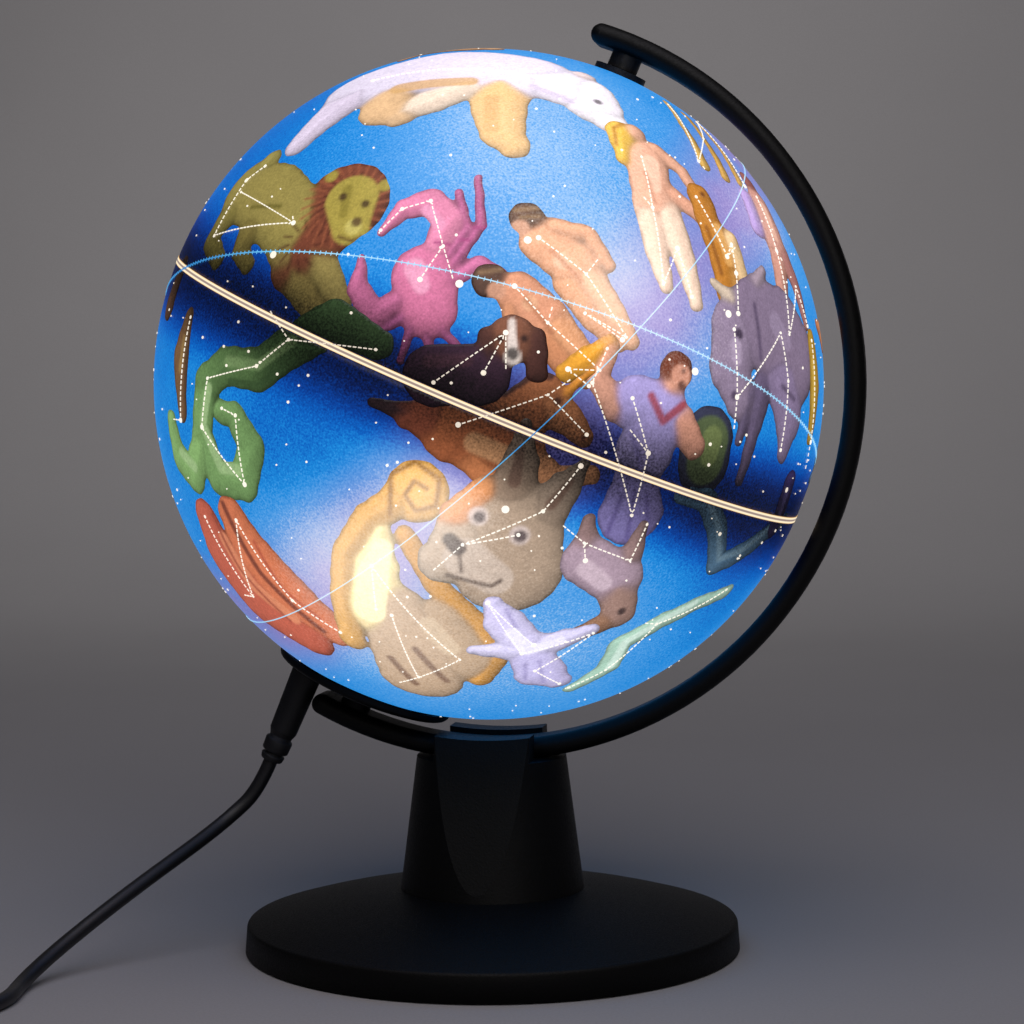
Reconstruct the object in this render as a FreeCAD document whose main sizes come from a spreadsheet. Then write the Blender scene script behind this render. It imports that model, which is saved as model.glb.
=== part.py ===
"""Lit desktop globe on a tilted bow, with its stand, lamp and low-voltage lead.

Frame: origin on the table under the middle of the base, +Z up, the bow's plane is XZ and the
globe's north end leans towards +X.  Millimetres.
"""
import FreeCAD, Part
import math
import os
import re
import Sketcher
from FreeCAD import Placement, Rotation, Vector

doc = FreeCAD.newDocument("DesktopGlobe")
sheet = doc.addObject("Spreadsheet::Sheet", "Sizes")

# ---------------------------------------------------------------- driving dimensions
sizes = {
    # globe
    "globeRadius": 80.0,        # outside of the printed shell
    "shellWall": 1.6,
    "seamWidth": 1.5,           # visible band of the joint ring
    "seamProud": 0.1,           # the band stands this much above the shell
    "jointReach": 4.0,          # how far the joint ring's flange reaches into each half
    "jointWall": 1.2,
    "standHeight": 56.0,        # globe's lowest point above the table
    "axisTilt": 23.5,           # degrees, the Earth's obliquity
    # clearances
    "runFit": 0.05,             # radial, running fits
    "bodyGap": 0.3,             # between bodies that do not bear on each other
    # bow
    "armGap": 5.0,              # between the globe and the bow
    "armThick": 5.0,
    "armWidth": 12.0,
    "armOverrun": 4.7,          # degrees, end rounding's centre past the axis
    "seatDepth": 0.6,           # recess that locates a neck in the bow
    # north pivot
    "neckRadius": 3.7,
    "hubBore": 2.5,
    "hubSleeve": 4.2,
    "hubLength": 7.0,
    "hubFlange": 6.3,
    "hubFlangeThick": 1.2,
    "clipRadius": 8.0,
    "clipThick": 1.2,
    "spigotRadius": 2.0,
    "spigotLength": 2.8,
    # south lamp holder
    "capGap": 0.4,              # between the shell and the holder's dome
    "capWall": 1.8,
    "capRim": 22.2,
    "capRimRound": 0.9,
    "collarRadius": 19.4,
    "collarWall": 1.4,
    "collarDepth": 7.0,         # collar's inner end, below the globe's surface
    "floorDepth": 2.6,          # inside face of the holder's floor, below the globe's surface
    "ringWall": 1.5,            # bearing ring's sleeve
    "ringFlange": 3.0,
    "ringFlangeThick": 1.4,
    # socket, plug and lead
    "plugOffset": 14.2,         # plug axis from the globe's axis
    "socketBoss": 4.1,
    "socketProud": 1.7,         # flat face that the plug meets, above the globe's surface
    "jackRadius": 3.1,
    "jackDepth": 10.0,
    "barrelRadius": 1.75,
    "barrelDepth": 7.0,
    "barrelBore": 0.7,
    "pinRadius": 0.5,
    "plugRadius": 3.85,
    "plugEndRadius": 3.4,
    "plugLength": 16.3,
    "plugTaper": 1.6,
    "reliefCore": 2.1,
    "reliefLength": 6.4,
    "ribRadius": 3.0,
    "leadDiameter": 3.5,
    "wireDiameter": 1.0,
    # lamp
    "stemRadius": 6.0,
    "stemLength": 33.4,
    "stemFoot": 12.0,
    "stemFootThick": 2.0,
    "stemWall": 1.5,
    "stemSpread": 9.0,          # its two screws, from the axis
    "stemBite": 3.0,
    "boardWidth": 15.0,
    "boardThick": 1.2,
    "boardRaise": 25.4,         # board's foot above the holder's floor
    "boardLength": 84.0,
    "ledSize": 3.5,
    "ledThick": 1.6,
    "diffuserRadius": 13.0,
    "diffuserWall": 1.2,
    "diffuserLength": 82.0,
    # base
    "baseRadius": 59.9,
    "baseDraft": 0.5,
    "rimHeight": 7.1,
    "rimRound": 0.9,
    "rimGap": 0.4,              # rim's lower edge above the table
    "baseWall": 2.4,
    "seatRadius": 23.4,
    "seatHeight": 13.4,
    "domeCurve": 200.0,
    "padThick": 0.8,
    "plateThick": 1.6,
    "plateClear": 0.2,
    "plateScrewCircle": 48.0,
    "plateScrewCount": 4,
    "bossRadius": 3.6,
    "bossTop": 7.6,
    "weightRadius": 42.5,
    "weightBore": 19.0,
    "weightThick": 3.0,
    # pillar
    "pillarFoot": 22.4,
    "footFlange": 23.1,
    "footFlangeThick": 0.8,
    "shoulderRadius": 18.1,
    "shoulderHeight": 46.8,
    "jawHalfLength": 11.5,
    "jawTop": 56.0,
    "jawGap": 4.0,              # between the globe and the jaws' concave top edge
    "facetFoot": 22.75,         # half distance between the facets at the foot
    "facetTop": 12.35,          # and at the height jawTop
    "hollowFoot": 19.9,
    "hollowTop": 14.4,
    "deckHeight": 38.0,
    "postRadius": 3.4,
    "postCircle": 15.6,
    "postTop": 26.0,
    "postCount": 3,
    # screws
    "screwThread": 1.5,
    "screwPilot": 1.5,
    "screwClear": 1.7,
    "screwHead": 2.8,
    "screwHeadThick": 1.9,
    "plateScrewLength": 6.4,
    "pillarScrewLength": 10.0,
    "armScrewLength": 11.0,
    "armScrewSpread": 6.0,
    "armBite": 3.5,             # how far they reach into the bow
    "holderScrewLength": 9.0,
    # stored lead
    "coilMiddle": 19.5,
    "coilHalfWidth": 5.45,
    "coilHeight": 10.6,
    "tieThick": 0.8,
    "tieWidth": 8.0,
    "tieSlack": 0.8,
    "usbBodyWidth": 15.5,
    "usbBodyHeight": 7.6,
    "usbBodyLength": 25.0,
    "usbShellWidth": 12.0,
    "usbShellHeight": 4.5,
    "usbShellLength": 12.0,
    "usbShellWall": 0.4,
    "usbTongueThick": 1.8,
}
# places that follow from the sizes: heights above the table, and distances from the globe's centre
places = {
    "centreHeight": "globeRadius + standHeight",
    "armInner": "globeRadius + armGap",
    "jawReach": "globeRadius + jawGap",
    "collarEnd": "globeRadius - collarDepth",
    "capFloor": "globeRadius - floorDepth",
    "socketFace": "globeRadius + socketProud",
    "jackInner": "globeRadius - jackDepth",
    "barrelInner": "globeRadius - barrelDepth",
    "plugEnd": "socketFace + plugLength",
    "plugShoulder": "plugEnd + plugTaper",
    "reliefEnd": "plugShoulder + reliefLength",
    "stemTop": "capFloor - stemLength",
    "boardFoot": "capFloor - boardRaise",
    "boardTop": "boardFoot - boardLength",
}
cells = {**sizes, **{name: "=" + formula for name, formula in places.items()}}
for row, (name, entry) in enumerate(cells.items(), start=1):
    sheet.set("A%d" % row, name)
    sheet.set("B%d" % row, str(entry))
    sheet.setAlias("B%d" % row, name)
doc.recompute()

# the lead's points from the plug to the coil, chosen as it falls
leadPoints = [
    (-55.2, 0.0, 44.7), (-58.6, 0.0, 36.8), (-65.2, -2.8, 30.4), (-71.0, -10.5, 25.4),
    (-77.6, -21.0, 20.3), (-85.8, -34.5, 13.6), (-94.2, -48.5, 6.0), (-97.2, -62.0, 1.75),
    (-94.4, -76.0, 1.75), (-98.4, -90.0, 1.75), (-109.4, -106.9, 2.65),
]
# and from the coil's top turn down to the supply plug
tailPoints = [
    (-152.0, -94.0, 9.65), (-153.5, -84.0, 9.2), (-153.0, -74.5, 6.2), (-151.0, -65.5, 3.8),
    (-151.0, -57.0, 3.8),
]
coilCentre = Vector(-129.0, -94.0, 0.0)
usbPlace = Vector(-151.0, -57.0, 0.0)
tieAngle = 110.0

aliasPattern = re.compile(r"\b(" + "|".join(sorted(cells, key=len, reverse=True)) + r")\b")


# ---------------------------------------------------------------- helpers
def link(expression):
    """The expression with each size named by its cell."""
    return aliasPattern.sub(r"Sizes.\1", str(expression))


def value(expression):
    """The expression's number now."""
    result = sheet.evalExpression(link(expression))
    return float(getattr(result, "Value", result))


def bind(item, **properties):
    """Drive an object's properties from the sheet."""
    for name, expression in properties.items():
        setattr(item, name, value(expression))
        item.setExpression(name, link(expression))
    return item


def moved(item, x=0, y=0, z=0, rotation=None):
    """Place an object, with its offsets driven from the sheet."""
    item.Placement = Placement(Vector(value(x), value(y), value(z)), rotation or Rotation())
    for axis, expression in (("x", x), ("y", y), ("z", z)):
        if aliasPattern.search(str(expression)):
            item.setExpression("Placement.Base." + axis, link(expression))
    return item


def cylinder(radius, height, x=0, y=0, z=0, rotation=None):
    return moved(bind(doc.addObject("Part::Cylinder"), Radius=radius, Height=height), x, y, z, rotation)


def cone(lower, upper, height, x=0, y=0, z=0, rotation=None):
    item = bind(doc.addObject("Part::Cone"), Radius1=lower, Radius2=upper, Height=height)
    return moved(item, x, y, z, rotation)


def box(length, width, height, z=0, x=None, y=None):
    """A box centred on X and Y unless told otherwise."""
    item = bind(doc.addObject("Part::Box"), Length=length, Width=width, Height=height)
    centred = ["-(%s)/2" % size if given is None else given for size, given in ((length, x), (width, y))]
    return moved(item, *centred, z)


def cut(base, *tools):
    for tool in tools:
        result = doc.addObject("Part::Cut")
        result.Base, result.Tool = base, tool
        base = result
    return base


def fuse(*pieces):
    result = doc.addObject("Part::MultiFuse")
    result.Shapes = list(pieces)
    result.Refine = True
    return result


def common(*pieces):
    result = doc.addObject("Part::MultiCommon")
    result.Shapes = list(pieces)
    return result


def group(*pieces):
    result = doc.addObject("Part::Compound")
    result.Links = list(pieces)
    return result


def originFeature(body, role):
    return next(feature for feature in body.Origin.OriginFeatures if feature.Role == role)


def profile(body, corners, offset=None):
    """A closed, fully constrained sketch in the body's XZ plane.

    Each corner is (x, y) or (x, y, radius): a radius makes the edge to the next corner an arc,
    bulging away from the sketch's origin when positive and towards it when negative.
    """
    sketch = body.newObject("Sketcher::SketchObject")
    sketch.AttachmentSupport = [(originFeature(body, "XZ_Plane"), "")]
    sketch.MapMode = "FlatFace"
    if offset is not None:
        sketch.AttachmentOffset = offset
    spots = [Vector(value(corner[0]), value(corner[1]), 0) for corner in corners]
    count = len(corners)
    for index, corner in enumerate(corners):
        start, end = spots[index], spots[(index + 1) % count]
        if len(corner) == 3:
            radius = value(corner[2])
            middle, chord = (start + end) * 0.5, end - start
            across = Vector(-chord.y, chord.x, 0).normalize()
            if across.dot(middle) * radius < 0:
                across = across * -1
            centre = middle - across * math.sqrt(max(radius * radius - chord.Length ** 2 / 4, 0))
            angles = [math.atan2(spot.y - centre.y, spot.x - centre.x) for spot in (start, end)]
            if chord.cross(middle - centre).z > 0:
                angles.reverse()
            circle = Part.Circle(centre, Vector(0, 0, 1), abs(radius))
            sketch.addGeometry(Part.ArcOfCircle(circle, angles[0], angles[1]))
        else:
            sketch.addGeometry(Part.LineSegment(start, end))
    endsOf = []
    for index in range(count):
        geometry = sketch.Geometry[index]
        forward = (geometry.StartPoint - spots[index]).Length < (geometry.EndPoint - spots[index]).Length
        endsOf.append((1, 2) if forward else (2, 1))
    for index in range(count):
        following = (index + 1) % count
        joined = (index, endsOf[index][1], following, endsOf[following][0])
        sketch.addConstraint(Sketcher.Constraint("Coincident", *joined))
    for index, corner in enumerate(corners):
        for kind, expression, axis in (("DistanceX", corner[0], -2), ("DistanceY", corner[1], -1)):
            number = value(expression)
            if abs(number) < 1e-9:
                sketch.addConstraint(Sketcher.Constraint("PointOnObject", index, endsOf[index][0], axis))
                continue
            item = sketch.addConstraint(Sketcher.Constraint(kind, -1, 1, index, endsOf[index][0], number))
            if aliasPattern.search(str(expression)):
                sketch.setExpression("Constraints[%d]" % item, link(expression))
        if len(corner) == 3:
            item = sketch.addConstraint(Sketcher.Constraint("Radius", index, abs(value(corner[2]))))
            if aliasPattern.search(str(corner[2])):
                sketch.setExpression("Constraints[%d]" % item, link(str(corner[2]).lstrip("-")))
    return sketch


def turned(corners):
    """A body turned about Z from its profile (radius, height)."""
    body = doc.addObject("PartDesign::Body")
    sketch = profile(body, corners)
    feature = body.newObject("PartDesign::Revolution")
    feature.Profile = sketch
    feature.ReferenceAxis = (sketch, ["V_Axis"])
    feature.Angle = 360
    body.Tip = feature
    return body


nodes = {}


def keep(name, item):
    """Name a finished sub-part."""
    item.Label = name
    nodes[name] = item
    return item


def north(item):
    """Stand a sub-part made about the globe's centre on the tilted axis, north end up."""
    return onAxis(item, "axisTilt")


def south(item):
    """The same with its +Z towards the south end, so that +X is the plug's side."""
    return onAxis(item, "axisTilt + 180")


def onAxis(item, angle):
    if not item.Placement.isIdentity():
        item = group(item)
    item.Placement = Placement(Vector(0, 0, value("centreHeight")), Rotation(Vector(0, 1, 0), value(angle)))
    item.setExpression("Placement.Base.z", link("centreHeight"))
    item.setExpression("Placement.Rotation.Angle", link(angle))
    return item


def around(count, circle, maker, start=0.0):
    """Copies of a piece on a circle; maker(x, y) takes expressions."""
    pieces = []
    for index in range(int(sizes[count])):
        angle = math.radians(start + 360.0 * index / sizes[count])
        pieces.append(maker("%s * %.6f" % (circle, math.cos(angle)), "%s * %.6f" % (circle, math.sin(angle))))
    return pieces


def screw(length, x=0, y=0, z=0, flip=False, headShape="pan"):
    """A screw with its head's outer face at z, pointing up, or down when flipped."""
    if headShape == "pan":
        head = cylinder("screwHead", "screwHeadThick")
    else:
        head = cone("screwHead", "screwThread", "screwHeadThick")
    shank = cylinder("screwThread", length)
    slot = box("screwHead * 1.3", 0.7, 0.8)
    whole = cut(fuse(head, shank), slot)
    return moved(whole, x, y, z, Rotation(Vector(1, 0, 0), 180) if flip else Rotation())


def tube(points, diameter):
    """Straight runs joined by tangent arcs, each as large as its two runs allow."""
    spots = [Vector(*point) for point in points]
    edges, last, radii, length = [], spots[0], [], 0.0
    for before, here, after in zip(spots, spots[1:], spots[2:]):
        inward, outward = (before - here), (after - here)
        reach = 0.45 * min(inward.Length, outward.Length)
        inward.normalize()
        outward.normalize()
        halfTurn = (math.pi - inward.getAngle(outward)) / 2
        radius = reach / math.tan(halfTurn)
        radii.append(radius)
        middle = here + (inward + outward).normalize() * (radius / math.cos(halfTurn) - radius)
        start, end = here + inward * reach, here + outward * reach
        edges.append(Part.LineSegment(last, start).toShape())
        edges.append(Part.Arc(start, middle, end).toShape())
        last = end
    edges.append(Part.LineSegment(last, spots[-1]).toShape())
    path = Part.Wire(edges)
    section = Part.Wire(Part.Circle(spots[0], spots[1] - spots[0], diameter / 2).toShape())
    solid = Part.makeSolid(path.makePipeShell([section], True, False))
    if solid.Volume < 0:
        solid.reverse()
    expected = math.pi * diameter ** 2 / 4 * path.Length
    print("  radii", " ".join("%.1f" % radius for radius in radii))
    print("  path %.1f mm, volume %.1f of %.1f mm3" % (path.Length, solid.Volume, expected))
    return solid


# ---------------------------------------------------------------- globe
def shellHalf(hole):
    """Half of the printed shell, from the joint ring to the hole at its pole."""
    inner = "(globeRadius - shellWall)"
    return turned([
        ("sqrt(globeRadius^2 - seamWidth^2 / 4)", "seamWidth / 2", "globeRadius"),
        (hole, "sqrt(globeRadius^2 - (%s)^2)" % hole),
        (hole, "sqrt(%s^2 - (%s)^2)" % (inner, hole), inner),
        ("sqrt(%s^2 - seamWidth^2 / 4)" % inner, "seamWidth / 2"),
    ])


keep("north_hemisphere", north(shellHalf("hubSleeve + runFit")))
keep("south_hemisphere", south(shellHalf("collarRadius + runFit + ringWall")))

flangeOuter = "sqrt((globeRadius - shellWall)^2 - jointReach^2)"
keep("joint_ring", north(turned([
    ("globeRadius + seamProud", "-seamWidth / 2"),
    ("globeRadius + seamProud", "seamWidth / 2"),
    (flangeOuter, "seamWidth / 2"),
    (flangeOuter, "jointReach"),
    (flangeOuter + " - jointWall", "jointReach"),
    (flangeOuter + " - jointWall", "-jointReach"),
    (flangeOuter, "-jointReach"),
    (flangeOuter, "-seamWidth / 2"),
])))

hubTop = "globeRadius + hubFlangeThick"
keep("north_hub", north(turned([
    ("hubBore", "globeRadius - hubLength"),
    ("hubSleeve", "globeRadius - hubLength"),
    ("hubSleeve", "sqrt(globeRadius^2 - hubSleeve^2)", "globeRadius"),
    ("hubFlange", "sqrt(globeRadius^2 - hubFlange^2)"),
    ("hubFlange", hubTop),
    ("hubBore", hubTop),
])))

clipTop = "sqrt((globeRadius - shellWall)^2 - clipRadius^2)"
keep("hub_clip", north(turned([
    ("hubSleeve", clipTop + " - clipThick"),
    ("clipRadius", clipTop + " - clipThick"),
    ("clipRadius", clipTop),
    ("hubSleeve", clipTop),
])))

ringBore = "collarRadius + runFit"
ringFlangeTop = "sqrt((globeRadius - shellWall)^2 - (collarRadius + runFit + ringWall + ringFlange)^2)"
keep("bearing_ring", south(turned([
    (ringBore, "sqrt(globeRadius^2 - (%s)^2) - 0.2" % ringBore),
    (ringBore, ringFlangeTop + " - ringFlangeThick"),
    (ringBore + " + ringWall + ringFlange", ringFlangeTop + " - ringFlangeThick"),
    (ringBore + " + ringWall + ringFlange", ringFlangeTop),
    (ringBore + " + ringWall", ringFlangeTop),
    (ringBore + " + ringWall", "sqrt(globeRadius^2 - (%s)^2) - 0.2" % ringBore),
])))

# ---------------------------------------------------------------- bow and north pin
armMiddle = "(armInner + armThick / 2)"
armEdge = "(armWidth / 2 - armThick / 2)"


def bowArm():
    """A rounded bar bent about Y, with a round end past the axis at each end."""
    body = doc.addObject("PartDesign::Body")
    xyPlane = originFeature(body, "XY_Plane")

    def bar(offset, half):
        sketch = body.newObject("Sketcher::SketchObject")
        sketch.AttachmentSupport = [(xyPlane, "")]
        sketch.MapMode = "FlatFace"
        sketch.AttachmentOffset = offset
        middle, edge, round_ = value(armMiddle), value(armEdge), value("armThick / 2")
        lowEnd, highEnd = Vector(middle, -edge, 0), Vector(middle, edge, 0)
        out, up = Vector(round_, 0, 0), Vector(0, round_, 0)
        if half:
            outline = [Part.LineSegment(highEnd + up, lowEnd - up)]
            arcs = [(-math.pi / 2, 0, lowEnd), (0, math.pi / 2, highEnd)]
        else:
            outline = [Part.LineSegment(highEnd - out, lowEnd - out)]
            arcs = [(-math.pi, 0, lowEnd), (0, math.pi, highEnd)]
        sketch.addGeometry(outline[0])
        circle = Part.Circle(arcs[0][2], Vector(0, 0, 1), round_)
        sketch.addGeometry(Part.ArcOfCircle(circle, arcs[0][0], arcs[0][1]))
        sketch.addGeometry(Part.LineSegment(lowEnd + out, highEnd + out))
        circle = Part.Circle(arcs[1][2], Vector(0, 0, 1), round_)
        sketch.addGeometry(Part.ArcOfCircle(circle, arcs[1][0], arcs[1][1]))
        for first, firstEnd, second, secondEnd in ((0, 2, 1, 1), (1, 2, 2, 1), (2, 2, 3, 1), (3, 2, 0, 1)):
            sketch.addConstraint(Sketcher.Constraint("Coincident", first, firstEnd, second, secondEnd))
        driven = [
            ("DistanceX", 1, 3, armMiddle), ("DistanceX", 3, 3, armMiddle),
            ("DistanceY", 1, 3, "-" + armEdge), ("DistanceY", 3, 3, armEdge),
            ("DistanceY", 1, 2, "-" + armEdge), ("DistanceY", 3, 1, armEdge),
        ]
        if half:
            driven += [("DistanceX", 1, 1, armMiddle), ("DistanceX", 3, 2, armMiddle)]
        else:
            driven += [("DistanceY", 1, 1, "-" + armEdge), ("DistanceY", 3, 2, armEdge)]
        for kind, arc, spot, expression in driven:
            item = sketch.addConstraint(Sketcher.Constraint(kind, -1, 1, arc, spot, value(expression)))
            sketch.setExpression("Constraints[%d]" % item, link(expression))
        for arc in (1, 3):
            item = sketch.addConstraint(Sketcher.Constraint("Radius", arc, round_))
            sketch.setExpression("Constraints[%d]" % item, link("armThick / 2"))
        return sketch

    bow = body.newObject("PartDesign::Revolution")
    bow.Profile = bar(Placement(), False)
    bow.ReferenceAxis = (bow.Profile[0], ["V_Axis"])
    bow.Midplane = True
    bind(bow, Angle="180 + 2 * armOverrun")
    for angle in ("270 - armOverrun", "90 + armOverrun"):
        end = body.newObject("PartDesign::Revolution")
        end.Profile = bar(Placement(Vector(), Rotation(Vector(0, 1, 0), value(angle))), True)
        end.Profile[0].setExpression("AttachmentOffset.Rotation.Angle", link(angle))
        end.ReferenceAxis = (end.Profile[0], ["Edge1"])
        end.Angle = 360
    body.Tip = end
    return body


# flat-bottomed recesses for the pin's neck and the lamp holder's, and the holes through them
northSeat = cylinder("neckRadius + runFit", "armThick", z="armInner + seatDepth - armThick")
southSeat = cylinder("neckRadius + runFit", "armThick", z="-armInner - seatDepth")
spigotHole = cylinder("spigotRadius", "spigotLength", z="armInner + seatDepth")
screwWay = cylinder("screwClear", "armThick * 2", z="-armInner - armThick * 1.5")
screwSink = cone("screwHead + runFit", "screwThread + runFit", "screwHeadThick", z="-armInner - armThick")
# the clamp screws rise vertically, so their holes are set in the bow's own tilted frame
tilt = Rotation(Vector(0, 1, 0), sizes["axisTilt"]).inverted()
armScrewHoles = []
for side in (1, -1):
    below = value("deckHeight + armScrewLength - armBite - centreHeight")
    spot = Vector(side * value("armScrewSpread"), 0, below)
    hole = cylinder("screwThread", "armBite + 0.1")
    hole.Placement = Placement(tilt.multVec(spot), tilt)
    armScrewHoles.append(hole)
keep("bow_arm", north(cut(bowArm(), northSeat, spigotHole, southSeat, screwWay, screwSink, *armScrewHoles)))

neckFoot = "globeRadius + hubFlangeThick + bodyGap"
keep("north_pin", north(turned([
    (0, "globeRadius - hubLength + 1"),
    ("hubBore - runFit - 0.6", "globeRadius - hubLength + 1"),
    ("hubBore - runFit", "globeRadius - hubLength + 1.6"),
    ("hubBore - runFit", neckFoot),
    ("neckRadius", neckFoot),
    ("neckRadius", "armInner + seatDepth"),
    ("spigotRadius", "armInner + seatDepth"),
    ("spigotRadius", "armInner + seatDepth + spigotLength - 0.2"),
    (0, "armInner + seatDepth + spigotLength - 0.2"),
])))

# ---------------------------------------------------------------- lamp holder and lamp
capInner = "(globeRadius + capGap)"
capOuter = "(globeRadius + capGap + capWall)"
rimInner = "(capRim - capRimRound)"
capBody = turned([
    ("collarRadius - collarWall", "collarEnd"),
    ("collarRadius", "collarEnd"),
    ("collarRadius", "sqrt(%s^2 - collarRadius^2)" % capInner, capInner),
    ("capRim", "sqrt(%s^2 - capRim^2)" % capInner),
    ("capRim", "sqrt(%s^2 - %s^2) - capRimRound" % (capOuter, rimInner), "capRimRound * 1.2"),
    (rimInner, "sqrt(%s^2 - %s^2)" % (capOuter, rimInner), capOuter),
    ("neckRadius", "sqrt(%s^2 - neckRadius^2)" % capOuter),
    ("neckRadius", "armInner + seatDepth"),
    (0, "armInner + seatDepth"),
    (0, "capFloor"),
    ("collarRadius - collarWall", "capFloor"),
])
stemSpreads = ("stemSpread", "-stemSpread")
boss = cylinder("socketBoss", "socketFace - capFloor - 0.5", x="plugOffset", z="capFloor + 0.5")
jackHole = cylinder("jackRadius", 20, x="plugOffset", z="capFloor - 5")
screwPilot = cylinder("screwPilot", "armInner + armThick", z="armInner + armThick - holderScrewLength")
stemPilots = [
    cylinder("screwPilot", "stemBite + 0.2", y=spread, z="capFloor - 0.1")
    for spread in stemSpreads
]
keep("lamp_holder", south(cut(fuse(capBody, boss), jackHole, screwPilot, *stemPilots)))

keep("power_jack", south(cut(
    cylinder("jackRadius", "socketFace - jackInner", x="plugOffset", z="jackInner"),
    cylinder("barrelRadius + runFit", 20, x="plugOffset", z="barrelInner - 0.3"),
    cylinder("pinRadius", 10, x="plugOffset", z="barrelInner - 2"),
)))
jackPin = cylinder("pinRadius", "socketFace - barrelInner", x="plugOffset", z="barrelInner - 2")
keep("jack_pin", south(jackPin))

stemTube = cut(
    fuse(
        cylinder("stemRadius", "capFloor - stemTop", z="stemTop"),
        cylinder("stemFoot", "stemFootThick", z="capFloor - stemFootThick"),
    ),
    cylinder("stemRadius - stemWall", "capFloor - stemTop + 1", z="stemTop - 0.5"),
    box("boardWidth", "boardThick", 20, z="boardFoot - 20"),
    cylinder("jackRadius + 0.4", 20, x="plugOffset", z="jackInner - 0.5"),
    *[cylinder("screwClear", 10, y=spread, z="capFloor - 5") for spread in stemSpreads],
)
keep("lamp_stem", south(stemTube))
keep("stem_screws", south(group(*[
    screw("stemFootThick + screwHeadThick + stemBite", y=spread,
          z="capFloor - stemFootThick - screwHeadThick")
    for spread in stemSpreads
])))
keep("led_board", south(box("boardWidth - 0.1", "boardThick - 0.1", "boardFoot - boardTop", z="boardTop")))
chips = []
for face in ("boardThick / 2 - 0.05", "-boardThick / 2 + 0.05 - ledThick"):
    for step in range(7):
        height = "boardTop + 4 + %d * (stemTop - boardTop - 10) / 6" % step
        chips.append(box("ledSize", "ledThick", "ledSize", z=height, y=face))
keep("leds", south(group(*chips)))
diffuserTop = "stemTop - 2 - diffuserLength"
keep("lamp_diffuser", south(cut(
    cylinder("diffuserRadius", "diffuserLength", z=diffuserTop),
    cylinder("diffuserRadius - diffuserWall", "diffuserLength - diffuserWall + 1",
             z=diffuserTop + " + diffuserWall"),
)))
keep("diffuser_collar", south(cut(
    cylinder("diffuserRadius", 2.0, z="stemTop - 2"),
    cylinder("stemRadius", 4.0, z="stemTop - 3"),
    box("boardWidth", "boardThick", 10, z="stemTop - 5"),
)))

wires = []
for side in (1, -1):
    spots = [
        Vector(value("plugOffset"), side * 1.2, value("jackInner")),
        Vector(value("plugOffset") - 0.5, side * 1.2, value("jackInner") - 5.0),
        Vector(value("plugOffset") - 4.5, side * 1.5, value("jackInner") - 10.0),
        Vector(value("stemRadius") + 1.6, side * 1.5, value("jackInner") - 16.0),
        Vector(value("stemRadius") + 1.4, side * 1.5, value("stemTop") + 2.2),
    ]
    wires.append(tube([tuple(spot) for spot in spots], sizes["wireDiameter"]))
lampWires = doc.addObject("Part::Feature", "lampWires")
lampWires.Shape = Part.makeCompound(wires)
keep("lamp_wires", south(lampWires))

keep("holder_screw", south(screw("holderScrewLength", z="armInner + armThick", flip=True, headShape="sunk")))

# ---------------------------------------------------------------- plug and lead
plugHole = cylinder("barrelRadius", 3, x="plugOffset", z="socketFace - 1")
plugBody = fuse(
    cone("plugRadius", "plugEndRadius", "plugEnd - socketFace", x="plugOffset", z="socketFace"),
    cone("plugEndRadius", "ribRadius - 0.2", "plugShoulder - plugEnd", x="plugOffset", z="plugEnd"),
)
keep("plug_body", south(cut(plugBody, plugHole)))
keep("plug_barrel", south(cut(
    cylinder("barrelRadius", "socketFace + 2 - barrelInner", x="plugOffset", z="barrelInner"),
    cylinder("barrelBore", "socketFace - barrelInner", x="plugOffset", z="barrelInner - 0.5"),
)))
ribs = [cylinder("reliefCore", "reliefEnd - plugShoulder", x="plugOffset", z="plugShoulder")]
ribs.append(cone("ribRadius", "ribRadius - 0.15", 3.6, x="plugOffset", z="plugShoulder + 0.5"))
ribs.append(cone("ribRadius - 0.25", "ribRadius - 0.4", 1.6, x="plugOffset", z="reliefEnd - 1.6"))
keep("strain_relief", south(fuse(*ribs)))

print("lead")
leadRun = doc.addObject("Part::Feature", "leadRun")
leadRun.Shape = tube(leadPoints, sizes["leadDiameter"])
keep("lead_run", leadRun)
print("tail")
leadTail = doc.addObject("Part::Feature", "leadTail")
leadTail.Shape = tube(tailPoints, sizes["leadDiameter"])
keep("lead_tail", leadTail)


def ringAround(inner, outer, height, z):
    return cut(
        cylinder(outer, height, x=coilCentre.x, y=coilCentre.y, z=z),
        cylinder(inner, height + " + 2", x=coilCentre.x, y=coilCentre.y, z=z + " - 1"),
    )


leadCoil = ringAround("coilMiddle - coilHalfWidth", "coilMiddle + coilHalfWidth", "coilHeight", "tieThick")
keep("lead_coil", leadCoil)
tieInner = ("2 * (coilHalfWidth + tieSlack)", "tieWidth + 2", "coilHeight")
tieOuter = ("2 * (coilHalfWidth + tieSlack + tieThick)", "tieWidth", "coilHeight + 2 * tieThick")
tieLoop = cut(box(*tieOuter), box(*tieInner, z="tieThick"))
tieTurn = Rotation(Vector(0, 0, 1), tieAngle)
tieLoop.Placement = Placement(coilCentre + tieTurn.multVec(Vector(sizes["coilMiddle"], 0, 0)), tieTurn)
keep("cable_tie", tieLoop)

usbMiddle = "usbBodyHeight / 2"


def usbBox(width, length, height, start):
    return box(width, length, height, z="%s - (%s) / 2" % (usbMiddle, height),
               x="%f - (%s) / 2" % (usbPlace.x, width), y="%f + %s" % (usbPlace.y, start))


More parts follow.
